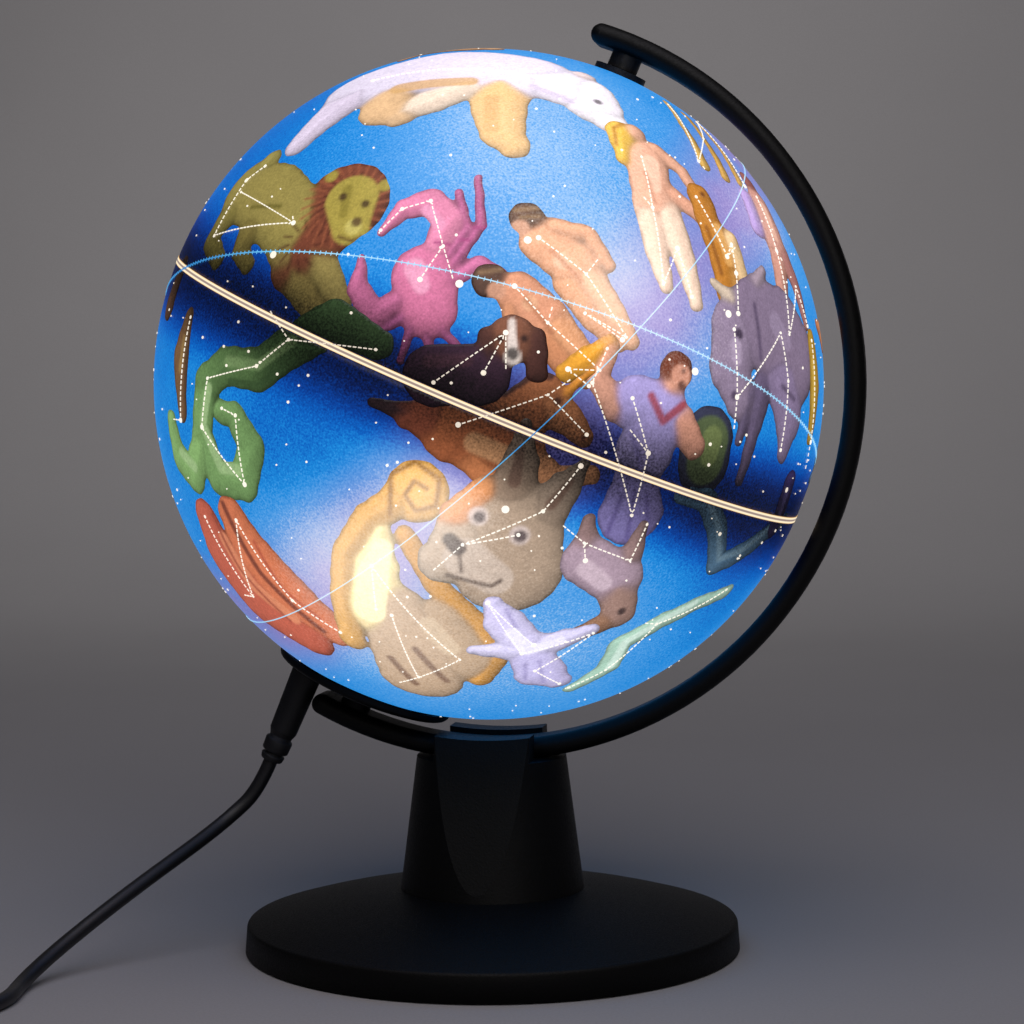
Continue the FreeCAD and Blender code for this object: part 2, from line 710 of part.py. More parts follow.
usbShellOuter = usbBox("usbShellWidth", "usbShellLength + 4", "usbShellHeight", "usbBodyLength - 4")
usbShellHollow = usbBox("usbShellWidth - 2 * usbShellWall", "usbShellLength + 5",
                        "usbShellHeight - 2 * usbShellWall", "usbBodyLength - 3.6")
keep("usb_shell", cut(usbShellOuter, usbShellHollow))
usbBody = usbBox("usbBodyWidth", "usbBodyLength", "usbBodyHeight", "0")
usbPocket = usbBox("usbShellWidth", "5", "usbShellHeight", "usbBodyLength - 4")
keep("usb_body", cut(usbBody, usbPocket))
keep("usb_tongue", box("usbShellWidth - 2 * usbShellWall", "usbShellLength + 2.6", "usbTongueThick",
                       z=usbMiddle + " + usbShellHeight / 2 - usbShellWall - usbTongueThick",
                       x="%f - (usbShellWidth - 2 * usbShellWall) / 2" % usbPlace.x,
                       y="%f + usbBodyLength - 3.6" % usbPlace.y))

# ---------------------------------------------------------------- base
plateSpots = ("plateScrewCount", "plateScrewCircle")
postSpots = ("postCount", "postCircle")
shellBody = turned([
    ("baseRadius", "rimGap"),
    ("baseRadius - baseDraft", "rimHeight - rimRound", "rimRound * 1.2"),
    ("baseRadius - baseDraft - rimRound", "rimHeight", "domeCurve"),
    ("seatRadius", "seatHeight"),
    (0, "seatHeight"),
    (0, "seatHeight - baseWall"),
    ("seatRadius", "seatHeight - baseWall"),
    ("baseRadius - baseWall - 0.2", "rimHeight - baseWall"),
    ("baseRadius - baseWall", "rimGap"),
])
plateTop = "padThick + plateThick"
bosses = around(
    *plateSpots,
    lambda x, y: cylinder("bossRadius", "bossTop - padThick - plateThick", x=x, y=y, z=plateTop),
    start=45)
pilots = around(
    *plateSpots,
    lambda x, y: cylinder("screwPilot", "plateScrewLength - plateThick + 0.2", x=x, y=y, z=plateTop),
    start=45)
postWays = around(*postSpots, lambda x, y: cylinder("screwClear", 10, x=x, y=y, z="seatHeight - 5"), start=90)
keep("base_shell", cut(fuse(shellBody, *bosses), *pilots, *postWays))

plateDisc = cylinder("baseRadius - baseWall - plateClear", "plateThick", z="padThick")
plateSinks = around(
    *plateSpots,
    lambda x, y: cone("screwHead + runFit", "screwThread + runFit", "plateThick", x=x, y=y, z="padThick"),
    start=45)
keep("base_plate", cut(plateDisc, *plateSinks))
keep("base_pad", cylinder("baseRadius - baseWall - plateClear", "padThick"))
keep("base_weight", cut(cylinder("weightRadius", "weightThick", z=plateTop), cylinder("weightBore", 20)))


def plateScrew(x, y):
    head = cone("screwHead", "screwThread", "plateThick")
    return moved(fuse(head, cylinder("screwThread", "plateScrewLength")), x, y, "padThick")


keep("plate_screws", group(*around(*plateSpots, plateScrew, start=45)))

# ---------------------------------------------------------------- pillar
coneTop = "pillarFoot - (pillarFoot - shoulderRadius) * (jawTop - seatHeight) / (shoulderHeight - seatHeight)"
pillarCone = cone("pillarFoot", coneTop, "jawTop - seatHeight", z="seatHeight")
# two flat facets that lean in towards the jaws
halfSpan = 40
facets = bind(
    doc.addObject("Part::Wedge"), Ymin="seatHeight", Ymax="jawTop", Zmin="-facetFoot", Zmax="facetFoot",
    Z2min="-facetTop", Z2max="facetTop", Xmin=-halfSpan, Xmax=halfSpan, X2min=-halfSpan, X2max=halfSpan)
facets.Placement = Placement(Vector(), Rotation(Vector(1, 0, 0), 90))
envelope = fuse(
    box(100, 100, "shoulderHeight - seatHeight", z="seatHeight"),
    box("2 * jawHalfLength", 100, "jawTop - seatHeight", z="seatHeight"),
)
# the jaws' bowl follows the globe, and the slot between them takes the bow
across = Rotation(Vector(1, 0, 0), 90)
jawBowl = cylinder("jawReach", 100, y=50, z="centreHeight", rotation=across)
armSlot = cylinder(
    "armInner + armThick", "armWidth + 2 * runFit", y="armWidth / 2 + runFit", z="centreHeight",
    rotation=across)
footRing = cylinder("footFlange", "footFlangeThick", z="seatHeight")
hollow = cone("hollowFoot", "hollowTop", "deckHeight - seatHeight", z="seatHeight")
posts = around(
    *postSpots, lambda x, y: cylinder("postRadius", "postTop - seatHeight", x=x, y=y, z="seatHeight"),
    start=90)
postPilots = around(
    *postSpots, lambda x, y: cylinder("screwPilot", "pillarScrewLength", x=x, y=y, z="seatHeight - 1"),
    start=90)
clampSpreads = ("armScrewSpread", "-armScrewSpread")
clampWays = [cylinder("screwClear", 20, x=spread, z="deckHeight - 5") for spread in clampSpreads]
pillarOutside = cut(common(pillarCone, facets, envelope), jawBowl, armSlot)
pillarHollow = cut(fuse(pillarOutside, footRing), hollow)
keep("pillar", cut(fuse(pillarHollow, *posts), *postPilots, *clampWays))

keep("pillar_screws", group(*around(
    *postSpots, lambda x, y: screw("pillarScrewLength", x=x, y=y, z="seatHeight - baseWall - screwHeadThick"),
    start=90)))
keep("arm_screws", group(*[
    screw("armScrewLength + screwHeadThick - 0.3", x=spread, z="deckHeight - screwHeadThick")
    for spread in clampSpreads
]))

# ---------------------------------------------------------------- check and write
doc.recompute()
faults = [item.Name for item in doc.Objects if {"Invalid", "Error"} & set(item.State)]
for name, item in nodes.items():
    if item.Shape.isNull() or not item.Shape.isValid() or not item.Shape.Solids:
        faults.append(name)
if faults:
    raise SystemExit("faulty: " + ", ".join(faults))
os.makedirs("parts", exist_ok=True)
for name, item in nodes.items():
    item.Shape.exportStep("parts/%s.step" % name)
    box_ = item.Shape.BoundBox
    print("%-18s solids %d volume %9.1f  x %.1f..%.1f y %.1f..%.1f z %.1f..%.1f" % (
        name, len(item.Shape.Solids), item.Shape.Volume,
        box_.XMin, box_.XMax, box_.YMin, box_.YMax, box_.ZMin, box_.ZMax))
print(len(nodes), "nodes")
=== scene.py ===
import math
import random

import bmesh
import bpy
import numpy as np
from mathutils import Matrix, Quaternion, Vector


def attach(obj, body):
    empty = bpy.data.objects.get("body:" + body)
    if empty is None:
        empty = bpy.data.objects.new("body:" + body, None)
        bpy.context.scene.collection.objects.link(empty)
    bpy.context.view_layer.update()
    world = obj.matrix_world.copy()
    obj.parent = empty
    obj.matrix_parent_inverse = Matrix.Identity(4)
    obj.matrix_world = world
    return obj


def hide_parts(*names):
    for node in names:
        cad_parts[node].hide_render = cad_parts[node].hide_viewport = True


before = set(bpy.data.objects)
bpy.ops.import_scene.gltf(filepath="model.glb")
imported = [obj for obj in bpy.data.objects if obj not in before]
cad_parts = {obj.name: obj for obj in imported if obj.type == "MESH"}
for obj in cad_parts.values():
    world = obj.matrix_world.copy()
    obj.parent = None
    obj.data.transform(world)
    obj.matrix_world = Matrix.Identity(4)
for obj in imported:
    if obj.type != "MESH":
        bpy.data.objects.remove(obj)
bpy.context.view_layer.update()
scene = bpy.context.scene
scene.view_settings.view_transform = "Standard"
scene.cycles.max_bounces = 8


# helpers
# sRGB hex to a linear colour
def tone(code):
    values = [int(code[at:at + 2], 16) / 255 for at in (0, 2, 4)]
    return [v / 12.92 if v < 0.04045 else ((v + 0.055) / 1.055) ** 2.4 for v in values] + [1.0]


def add(tree, kind, inputs=None, **settings):
    item = tree.nodes.new(kind)
    for name, setting in settings.items():
        setattr(item, name, setting)
    for key, given in (inputs or {}).items():
        if isinstance(given, bpy.types.NodeSocket):
            tree.links.new(given, item.inputs[key])
        else:
            item.inputs[key].default_value = given
    return item


def ramp(tree, factor, stops):
    item = add(tree, "ShaderNodeValToRGB", {"Fac": factor})
    while len(item.color_ramp.elements) < len(stops):
        item.color_ramp.elements.new(0.5)
    for element, (place, colour) in zip(item.color_ramp.elements, stops):
        element.position = place
        element.color = colour
    return item.outputs["Color"]


# vector from the globe's centre to the shaded place
def fromCentre(tree, place):
    return add(tree, "ShaderNodeVectorMath", {0: place, 1: ball["centre"]}, operation="SUBTRACT").outputs[0]


def blank(name):
    material = bpy.data.materials.new(name)
    material.use_nodes = True
    return material, material.node_tree, material.node_tree.nodes["Principled BSDF"]


# a moulded, painted, woven or metal surface: two colours, grain, wear and bump from noise
def finish(settings):
    material, tree, shader = blank(settings["name"])
    place = add(tree, "ShaderNodeTexCoord").outputs["Object"]
    broad = add(tree, "ShaderNodeTexNoise", {"Vector": place, "Scale": settings["patch"], "Detail": 4.0})
    fine = add(tree, "ShaderNodeTexNoise", {"Vector": place, "Scale": settings["grain"], "Detail": 3.0})
    dark, light = tone(settings["dark"]), tone(settings["light"])
    blend = add(tree, "ShaderNodeMath", {0: broad.outputs["Fac"], 1: fine.outputs["Fac"]}, operation="MULTIPLY")
    colour = ramp(tree, blend.outputs[0], [(0.12, dark), (0.42, light)])
    low, high = settings["rough"]
    rough = add(tree, "ShaderNodeMapRange", {"Value": fine.outputs["Fac"], 1: 0.3, 2: 0.7, 3: low, 4: high})
    bump = add(tree, "ShaderNodeBump", {
        "Height": fine.outputs["Fac"], "Strength": settings["bump"], "Distance": 0.0002})
    tree.links.new(colour, shader.inputs["Base Color"])
    tree.links.new(rough.outputs[0], shader.inputs["Roughness"])
    tree.links.new(bump.outputs[0], shader.inputs["Normal"])
    shader.inputs["Metallic"].default_value = settings.get("metal", 0.0)
    shader.inputs["Specular IOR Level"].default_value = settings.get("specular", 0.5)
    return material


def dress(material, *names):
    for name in names:
        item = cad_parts[name]
        item.data.materials.clear()
        item.data.materials.append(material)


def meshPiece(name, corners, faces, material):
    mesh = bpy.data.meshes.new(name)
    mesh.from_pydata([tuple(corner) for corner in corners], [], faces)
    mesh.materials.append(material)
    for polygon in mesh.polygons:
        polygon.use_smooth = True
    work = bmesh.new()
    work.from_mesh(mesh)
    bmesh.ops.recalc_face_normals(work, faces=work.faces)
    work.to_mesh(mesh)
    work.free()
    piece = bpy.data.objects.new(name, mesh)
    scene.collection.objects.link(piece)
    return piece


# millimetres to metres
def inMetres(pairs):
    return [(radius / 1000, height / 1000) for radius, height in pairs]


# a closed profile of (radius, height) pairs turned about an axis
def lathe(name, profile, turn, centre, material, segments=192):
    corners, faces = [], []
    count = len(profile)
    for step in range(segments):
        angle = 2 * math.pi * step / segments
        for radius, height in profile:
            place = turn @ Vector((radius * math.cos(angle), radius * math.sin(angle), height)) + centre
            corners.append(place)
    for step in range(segments):
        following = (step + 1) % segments
        for at in range(count):
            then = (at + 1) % count
            faces.append((step * count + at, following * count + at,
                          following * count + then, step * count + then))
    return meshPiece(name, corners, faces, material)


# camera
camera = bpy.data.objects.new("camera", bpy.data.cameras.new("camera"))
scene.collection.objects.link(camera)
scene.camera = camera
camera.data.lens = 87.96
camera.data.sensor_width = 36.0
camera.data.clip_start = 0.01
forward = Vector((-0.173944, 0.983538, -0.048963)).normalized()
camera.rotation_mode = "QUATERNION"
camera.rotation_quaternion = forward.to_track_quat("-Z", "Y") @ Quaternion((0, 0, 1), math.radians(-0.37))
camera.location = (0.110322, -0.593312, 0.135229)
print("camera set")

# floor and backdrop: seamless grey paper
paper = {"half": 7.0, "front": -9.0, "bend": 0.75, "radius": 0.65, "top": 1.9}
paperFinish = finish({
    "name": "seamless_paper", "dark": "8b8a8c", "light": "939294", "patch": 3.0, "grain": 1400.0,
    "rough": (0.85, 0.95), "bump": 0.15, "specular": 0.1})
profilePaper = [(paper["front"], 0.0), (paper["bend"], 0.0)]
for step in range(1, 25):
    angle = math.pi / 2 * step / 24
    profilePaper.append((
        paper["bend"] + paper["radius"] * math.sin(angle), paper["radius"] * (1 - math.cos(angle))))
profilePaper.append((paper["bend"] + paper["radius"], paper["top"]))
corners = [(side * paper["half"], y, z) for y, z in profilePaper for side in (-1, 1)]
faces = [(2 * i, 2 * i + 1, 2 * i + 3, 2 * i + 2) for i in range(len(profilePaper) - 1)]
floor = meshPiece("studio_paper", corners, faces, paperFinish)


def lamp(settings):
    light = bpy.data.lights.new(settings["name"], "AREA")
    light.energy, light.size = settings["power"], settings["size"]
    light.spread = math.radians(settings["spread"])
    light.color = tone(settings["colour"])[:3]
    item = bpy.data.objects.new(settings["name"], light)
    scene.collection.objects.link(item)
    item.location = settings["at"]
    item.rotation_mode = "QUATERNION"
    item.rotation_quaternion = (Vector(settings["aim"]) - item.location).to_track_quat("-Z", "Y")


lamp({"name": "overhead_softbox", "power": 7.0, "size": 1.1, "spread": 180, "colour": "fbf6ff",
      "at": (0.1, -0.55, 1.15), "aim": (0, -0.2, 0)})
lamp({"name": "backdrop_wash", "power": 2.7, "size": 0.8, "spread": 80, "colour": "fffaf6",
      "at": (-0.3, 0.4, 1.5), "aim": (-0.25, 1.36, 0.36)})
lamp({"name": "front_fill", "power": 5.0, "size": 1.2, "spread": 180, "colour": "fffaf4",
      "at": (0.5, -1.4, 0.95), "aim": (0, 0, 0.08)})
world = bpy.data.worlds.new("room")
scene.world = world
world.use_nodes = True
world.node_tree.nodes["Background"].inputs["Color"].default_value = tone("8a8c90")
world.node_tree.nodes["Background"].inputs["Strength"].default_value = 0.12
print("stage set")

# lead: one smooth line from the plug to the stored coil and on to the supply plug
lead = {
    "diameter": 0.0035,
    "run": [(-55.2, 0, 44.7), (-58.6, 0, 36.8), (-65.2, -2.8, 30.4), (-71.0, -10.5, 25.4), (-77.6, -21.0, 20.3),
            (-85.8, -34.5, 13.6), (-94.2, -48.5, 6.0), (-97.2, -62.0, 1.75), (-94.4, -76.0, 1.75),
            (-98.4, -90.0, 1.75)],
    "tail": [(-152.0, -94.0, 9.65), (-153.5, -84.0, 9.2), (-153.0, -74.5, 6.2), (-151.0, -65.5, 3.8),
             (-151.0, -55.0, 3.8)],
    "coilCentre": (-129.0, -94.0), "firstAngle": -33.0, "lastAngle": -180.0,
    "radii": (23.0, 19.5, 16.0, 16.0, 19.5, 23.0, 16.0, 19.5, 23.0),
    "levels": (2.6, 2.6, 2.6, 6.1, 6.1, 6.1, 9.6, 9.6, 9.6), "perTurn": 14, "lastPart": 0.41, "shiftFrom": 0.7}
route = [Vector(point) for point in lead["run"]]
turnsWound = len(lead["radii"]) - 1 + lead["lastPart"]
stepsWound = int(turnsWound * lead["perTurn"])
for step in range(stepsWound + 1):
    turn = step / lead["perTurn"]
    whole = min(int(turn), len(lead["radii"]) - 2)
    part = turn - whole
    ease = max(0.0, min(1.0, (part - lead["shiftFrom"]) / 0.3))
    radius = lead["radii"][whole] * (1 - ease) + lead["radii"][whole + 1] * ease
    level = lead["levels"][whole] * (1 - ease) + lead["levels"][whole + 1] * ease
    angle = math.radians(lead["firstAngle"] - 360 * turn)
    route.append(Vector((lead["coilCentre"][0] + radius * math.cos(angle),
                         lead["coilCentre"][1] + radius * math.sin(angle), level)))
route += [Vector(point) for point in lead["tail"]]
leadCurve = bpy.data.curves.new("lead", "CURVE")
leadCurve.dimensions = "3D"
spline = leadCurve.splines.new("NURBS")
spline.points.add(len(route) - 1)
for point, place in zip(spline.points, route):
    point.co = (*(place / 1000), 1.0)
spline.order_u = 3
spline.use_endpoint_u = True
spline.resolution_u = 8
leadCurve.bevel_depth = lead["diameter"] / 2
leadCurve.bevel_resolution = 5
leadCurve.use_fill_caps = True
leadPiece = bpy.data.objects.new("lead", leadCurve)
scene.collection.objects.link(leadPiece)
# soft black PVC lead
leadPvc = finish({
    "name": "lead_pvc", "dark": "0e0d0f", "light": "1b1a1d", "patch": 60.0, "grain": 2600.0,
    "rough": (0.38, 0.52), "bump": 0.12})
leadCurve.materials.append(leadPvc)
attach(leadPiece, "stand")
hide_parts("lead_run", "lead_coil", "lead_tail")
print("lead laid")

# stand
# black ABS with a fine moulded grain
blackAbs = finish({
    "name": "black_abs", "dark": "030303", "light": "080707", "patch": 35.0, "grain": 1900.0,
    "rough": (0.44, 0.60), "bump": 0.25, "specular": 0.2})
# base in the same plastic with a coarser spark-eroded grain
blackBase = finish({
    "name": "black_base", "dark": "030303", "light": "080707", "patch": 25.0, "grain": 2600.0,
    "rough": (0.50, 0.66), "bump": 0.4, "specular": 0.14})
# black nylon for the pin and hub
blackNylon = finish({
    "name": "black_nylon", "dark": "0b0a0c", "light": "17161a", "patch": 50.0, "grain": 1500.0,
    "rough": (0.32, 0.46), "bump": 0.15})
# matt PVC overmould of the plugs
plugPvc = finish({
    "name": "plug_pvc", "dark": "0c0b0d", "light": "1a191c", "patch": 70.0, "grain": 2200.0,
    "rough": (0.5, 0.66), "bump": 0.3})
# woven nylon tie
tieFabric = finish({
    "name": "tie_fabric", "dark": "0d0d10", "light": "24242a", "patch": 300.0, "grain": 1800.0,
    "rough": (0.8, 0.95), "bump": 0.9})
# zinc-plated steel screws
screwSteel = finish({
    "name": "screw_steel", "dark": "7c7f85", "light": "a9adb3", "patch": 90.0, "grain": 1300.0,
    "rough": (0.25, 0.42), "bump": 0.1, "metal": 1.0})
# raw steel weight
weightSteel = finish({
    "name": "weight_steel", "dark": "4f4c4a", "light": "726e6a", "patch": 40.0, "grain": 900.0,
    "rough": (0.4, 0.65), "bump": 0.3, "metal": 1.0})
# nickel-plated contacts and shell
contactNickel = finish({
    "name": "contact_nickel", "dark": "a9a8a2", "light": "cfcdc6", "patch": 120.0, "grain": 1700.0,
    "rough": (0.18, 0.32), "bump": 0.06, "metal": 1.0})
# brass pin of the socket
pinBrass = finish({
    "name": "pin_brass", "dark": "a3782f", "light": "d0a24e", "patch": 120.0, "grain": 1500.0,
    "rough": (0.22, 0.36), "bump": 0.06, "metal": 1.0})
# black EVA foam under the base
padFoam = finish({
    "name": "pad_foam", "dark": "0b0b0d", "light": "202024", "patch": 120.0, "grain": 1100.0,
    "rough": (0.85, 0.98), "bump": 0.9})
# white polycarbonate lamp stem and board lacquer
lampWhite = finish({
    "name": "lamp_white", "dark": "d6d3cc", "light": "efece6", "patch": 60.0, "grain": 1500.0,
    "rough": (0.35, 0.5), "bump": 0.1})
# red and dark insulation of the lamp's wires
wireRed = finish({
    "name": "wire_red", "dark": "7d1410", "light": "ad241c", "patch": 90.0, "grain": 1700.0,
    "rough": (0.35, 0.5), "bump": 0.1})
dress(blackAbs, "bow_arm", "lamp_holder", "pillar", "base_plate")
dress(blackNylon, "north_hub", "north_pin", "hub_clip", "bearing_ring")
dress(plugPvc, "plug_body", "usb_body", "power_jack")
dress(tieFabric, "cable_tie")
dress(screwSteel, "stem_screws", "holder_screw", "plate_screws", "pillar_screws", "arm_screws")
dress(weightSteel, "base_weight")
dress(contactNickel, "plug_barrel", "usb_shell")
dress(pinBrass, "jack_pin")
dress(padFoam, "base_pad")
dress(lampWhite, "lamp_stem", "led_board", "usb_tongue", "diffuser_collar", "lamp_diffuser", "leds")
dress(wireRed, "lamp_wires")
print("stand dressed")

# base cover: upright rim with a small round, then a shallow dome up to the pillar
base = {"rim": [(59.9, 0.4), (59.45, 6.2), (59.38, 6.5), (59.2, 6.8), (58.9, 7.0), (58.5, 7.1)],
        "domeFoot": 58.5, "domeHeight": 7.1, "domeCurve": 200.0, "hole": 16.0,
        "under": [(16.0, 11.6), (40.0, 8.6), (57.3, 4.7), (57.5, 0.4)]}
outline = list(base["rim"])
crown = math.sqrt(base["domeCurve"] ** 2 - base["domeFoot"] ** 2)
for step in range(1, 25):
    radius = base["domeFoot"] + (base["hole"] - base["domeFoot"]) * step / 24
    outline.append((radius, base["domeHeight"] + math.sqrt(base["domeCurve"] ** 2 - radius ** 2) - crown))
outline += base["under"]
cover = lathe("base_cover", inMetres(outline), Matrix.Identity(4), Vector((0, 0, 0)), blackBase)
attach(cover, "stand")
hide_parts("base_shell")

# tapered strain relief with two ribs
relief = {"offset": 0.0142, "profile": [
    (1.2, 99.2), (2.9, 99.3), (2.7, 100.1), (3.2, 100.3), (3.4, 100.7), (3.3, 103.3), (3.1, 103.6),
    (2.3, 103.7), (2.2, 104.3), (2.8, 104.4), (2.95, 104.7), (2.75, 105.7), (2.5, 106.0), (2.0, 106.1),
    (1.2, 106.1)]}
southTurn = Matrix.Rotation(math.radians(23.5 + 180), 4, "Y")
sleeve = lathe("lead_sleeve", inMetres(relief["profile"]), southTurn,
               Vector((0, 0, 0.136)) + southTurn @ Vector((relief["offset"], 0, 0)), plugPvc, 64)
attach(sleeve, "stand")
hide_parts("strain_relief")
# small rounds on the moulded edges
for name, width in (("pillar", 0.0006), ("plug_body", 0.0005), ("usb_body", 0.0004)):
    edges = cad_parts[name].modifiers.new("edges", "BEVEL")
    edges.width, edges.segments = width, 3
    edges.limit_method, edges.angle_limit = "ANGLE", math.radians(32)
print("base, sleeve and rounds made")

# globe
ball = {"radius": 0.080, "wall": 0.0016, "centre": Vector((0, 0, 0.136)), "tilt": math.radians(23.5),
        "seam": 0.0015, "hubHole": 0.00425, "ringHole": 0.02095}
northward = Vector((math.sin(ball["tilt"]), 0, math.cos(ball["tilt"])))
# poles of the printed great circles
poles = {"sunPath": (0.20, 0.31, 0.93), "starCloud": (-0.62, -0.29, 0.73)}
axisTurn = Matrix.Rotation(ball["tilt"], 4, "Y")


# unit vector from the globe's centre in degrees: azimuth 0 is the front, positive to the right
def direction(azimuth, height):
    across, up = math.radians(azimuth), math.radians(height)
    return Vector((math.sin(across) * math.cos(up), -math.cos(across) * math.cos(up), math.sin(up)))


# how brightly the lamp shows through the shell at each place: 0 dark, 0.5 plain, 1 burnt out
def lampTree():
    tree = bpy.data.node_groups.new("lamp_through_shell", "ShaderNodeTree")
    tree.interface.new_socket("Level", in_out="OUTPUT", socket_type="NodeSocketFloat")
    place = add(tree, "ShaderNodeTexCoord").outputs["Object"]
    ray = add(tree, "ShaderNodeVectorMath", {0: fromCentre(tree, place)}, operation="NORMALIZE").outputs[0]

    def level(kind, first, second=0.0, third=0.0):
        return add(tree, "ShaderNodeMath", {0: first, 1: second, 2: third}, operation=kind).outputs[0]

    def along(vector):
        return add(tree, "ShaderNodeVectorMath", {0: ray, 1: vector}, operation="DOT_PRODUCT").outputs["Value"]

    total = None
    # broad pools where the lamp's two faces point, and the chips' own bright streaks; a negative gain paints a
    # darker patch of shade
    for azimuth, height, width, gain in (
            (15, 45, 19, 0.21), (36, 19, 13, 0.07), (32, 14, 6.5, 0.22), (47, 6, 8, 0.10), (70, 27, 8, 0.18),
            (3, -17, 6, 0.30), (-5, -24, 7, 0.18), (-18, -28, 9, 0.24), (-12, -45, 12, 0.18),
            (27, -45, 18, 0.13), (-52, 42, 26, -0.11), (-19, -8, 11, -0.09), (64, -30, 12, -0.14),
            (150, 10, 30, 0.18), (190, -30, 25, 0.16)):
        sharp = 1 / (2 * (1 - math.cos(math.radians(width))))
        below = level("SUBTRACT", along(direction(azimuth, height)), 1.0)
        pool = level("MULTIPLY", level("EXPONENT", level("MULTIPLY", below, sharp)), gain)
        total = pool if total is None else level("ADD", total, pool)
    total = level("ADD", total, 0.50)
    # the joint's flange inside shades a band each side of the seam, wider on the north
    latitude = along(northward)
    northShade = add(tree, "ShaderNodeMapRange", {"Value": latitude, 1: 0.0, 2: 0.26, 3: 0.06, 4: 1.0},
                     interpolation_type="SMOOTHERSTEP").outputs[0]
    southShade = add(tree, "ShaderNodeMapRange", {"Value": latitude, 1: 0.0, 2: -0.26, 3: 0.10, 4: 1.0},
                     interpolation_type="SMOOTHERSTEP").outputs[0]
    shade = level("MAXIMUM", level("MULTIPLY", northShade, level("GREATER_THAN", latitude, 0.0)),
                  level("MULTIPLY", southShade, level("LESS_THAN", latitude, 0.0)))
    total = level("MULTIPLY", total, shade)
    # mottling of the print and of the moulded shell
    speckle = add(tree, "ShaderNodeTexNoise", {"Vector": place, "Scale": 2100.0, "Detail": 3.0}).outputs["Fac"]
    cloud = add(tree, "ShaderNodeTexNoise", {"Vector": place, "Scale": 38.0, "Detail": 3.0}).outputs["Fac"]
    grit = level("MULTIPLY_ADD", speckle, 0.34, -0.17)
    drift = level("MULTIPLY_ADD", cloud, 0.12, -0.06)
    total = level("ADD", total, level("ADD", grit, drift))
    end = add(tree, "NodeGroupOutput")
    tree.links.new(total, end.inputs[0])
    return tree


lampLevel = lampTree()


# printed shell lit from behind; colourOf(tree, level) gives the light's colour
def glowing(name, colourOf, whiteout, strength=1.0):
    material, tree, shader = blank(name)
    level = add(tree, "ShaderNodeGroup", node_tree=lampLevel).outputs[0]
    colour = colourOf(tree, level)
    burn = add(tree, "ShaderNodeMapRange", {"Value": level, 1: 0.62, 2: 1.15, 3: 0.0, 4: whiteout}).outputs[0]
    lit = add(tree, "ShaderNodeMix", {0: burn, 6: colour, 7: tone("fff8ee")}, data_type="RGBA").outputs[2]
    tree.links.new(lit, shader.inputs["Emission Color"])
    shader.inputs["Emission Strength"].default_value = strength
    # unlit print: a third of the colour over near black
    dim = add(tree, "ShaderNodeMix", {0: 0.35, 6: (0.004, 0.004, 0.005, 1), 7: colour},
              data_type="RGBA").outputs[2]
    tree.links.new(dim, shader.inputs["Base Color"])
    shader.inputs["Roughness"].default_value = 0.42
    shader.inputs["Specular IOR Level"].default_value = 0.25
    return material


def skyColour(tree, level):
    sky = ramp(tree, level, [
        (0.0, tone("03091f")), (0.10, tone("041c55")), (0.25, tone("053c92")), (0.38, tone("085fbb")),
        (0.50, tone("1a86d6")), (0.62, tone("559fe2")), (0.75, tone("8cbdee")), (0.90, tone("c2dbf2")),
        (1.0, tone("eef4f8"))])
    # pale violet star cloud along one great circle
    place = add(tree, "ShaderNodeTexCoord").outputs["Object"]
    away = add(tree, "ShaderNodeVectorMath", {0: fromCentre(tree, place), 1: Vector(poles["starCloud"])},
               operation="DOT_PRODUCT").outputs["Value"]
    wisps = add(tree, "ShaderNodeTexNoise", {"Vector": place, "Scale": 45.0, "Detail": 4.0}).outputs["Fac"]
    near = add(tree, "ShaderNodeMapRange", {
        "Value": add(tree, "ShaderNodeMath", {0: away}, operation="ABSOLUTE").outputs[0],
        1: 0.003, 2: 0.024, 3: 1.5, 4: 0.0}, interpolation_type="SMOOTHSTEP").outputs[0]
    amount = add(tree, "ShaderNodeMath", {0: near, 1: wisps}, operation="MULTIPLY").outputs[0]
    violet = add(tree, "ShaderNodeMix", {0: level, 6: tone("0a0834"), 7: tone("b4a6f0")},
                 data_type="RGBA").outputs[2]
    return add(tree, "ShaderNodeMix", {0: amount, 6: sky, 7: violet}, data_type="RGBA").outputs[2]


def inkColour(tree, level):
    ink = add(tree, "ShaderNodeAttribute", attribute_name="ink").outputs["Color"]
    place = add(tree, "ShaderNodeTexCoord").outputs["Object"]
    fur = add(tree, "ShaderNodeTexNoise", {"Vector": place, "Scale": 760.0, "Detail": 4.0, "Distortion": 1.0})
    gain = add(tree, "ShaderNodeMapRange", {"Value": level, 1: 0.0, 2: 1.0, 3: 0.06, 4: 1.75}).outputs[0]
    streak = add(tree, "ShaderNodeMapRange", {
        "Value": fur.outputs["Fac"], 1: 0.3, 2: 0.7, 3: 0.9, 4: 1.1}).outputs[0]
    total = add(tree, "ShaderNodeMath", {0: gain, 1: streak}, operation="MULTIPLY").outputs[0]
    return add(tree, "ShaderNodeVectorMath", {0: ink, "Scale": total}, operation="SCALE").outputs[0]


# translucent polystyrene shell with the sky printed on it
skyPrint = glowing("sky_print", skyColour, 0.7)
# opaque picture inks over the sky
figureInk = glowing("figure_ink", inkColour, 0.6)
figureInk.cycles.emission_sampling = "NONE"


def shellProfile(hole, sign):
    outer, inner = ball["radius"], ball["radius"] - ball["wall"]
    low = ball["seam"] / 2
    profile = []
    for radius, order in ((outer, 1), (inner, -1)):
        first, last = math.asin(low / radius), math.acos(hole / radius)
        steps = 64 if order > 0 else 24
        arc = [first + (last - first) * step / steps for step in range(steps + 1)]
        profile += [(radius * math.cos(angle), sign * radius * math.sin(angle)) for angle in arc[::order]]
    return profile


for name, node, hole, sign in (("north_sky", "north_hemisphere", "hubHole", 1),
                               ("south_sky", "south_hemisphere", "ringHole", -1)):
    shell = lathe(name, shellProfile(ball[hole], sign), axisTurn, ball["centre"], skyPrint)
    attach(shell, "globe")
    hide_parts(node)


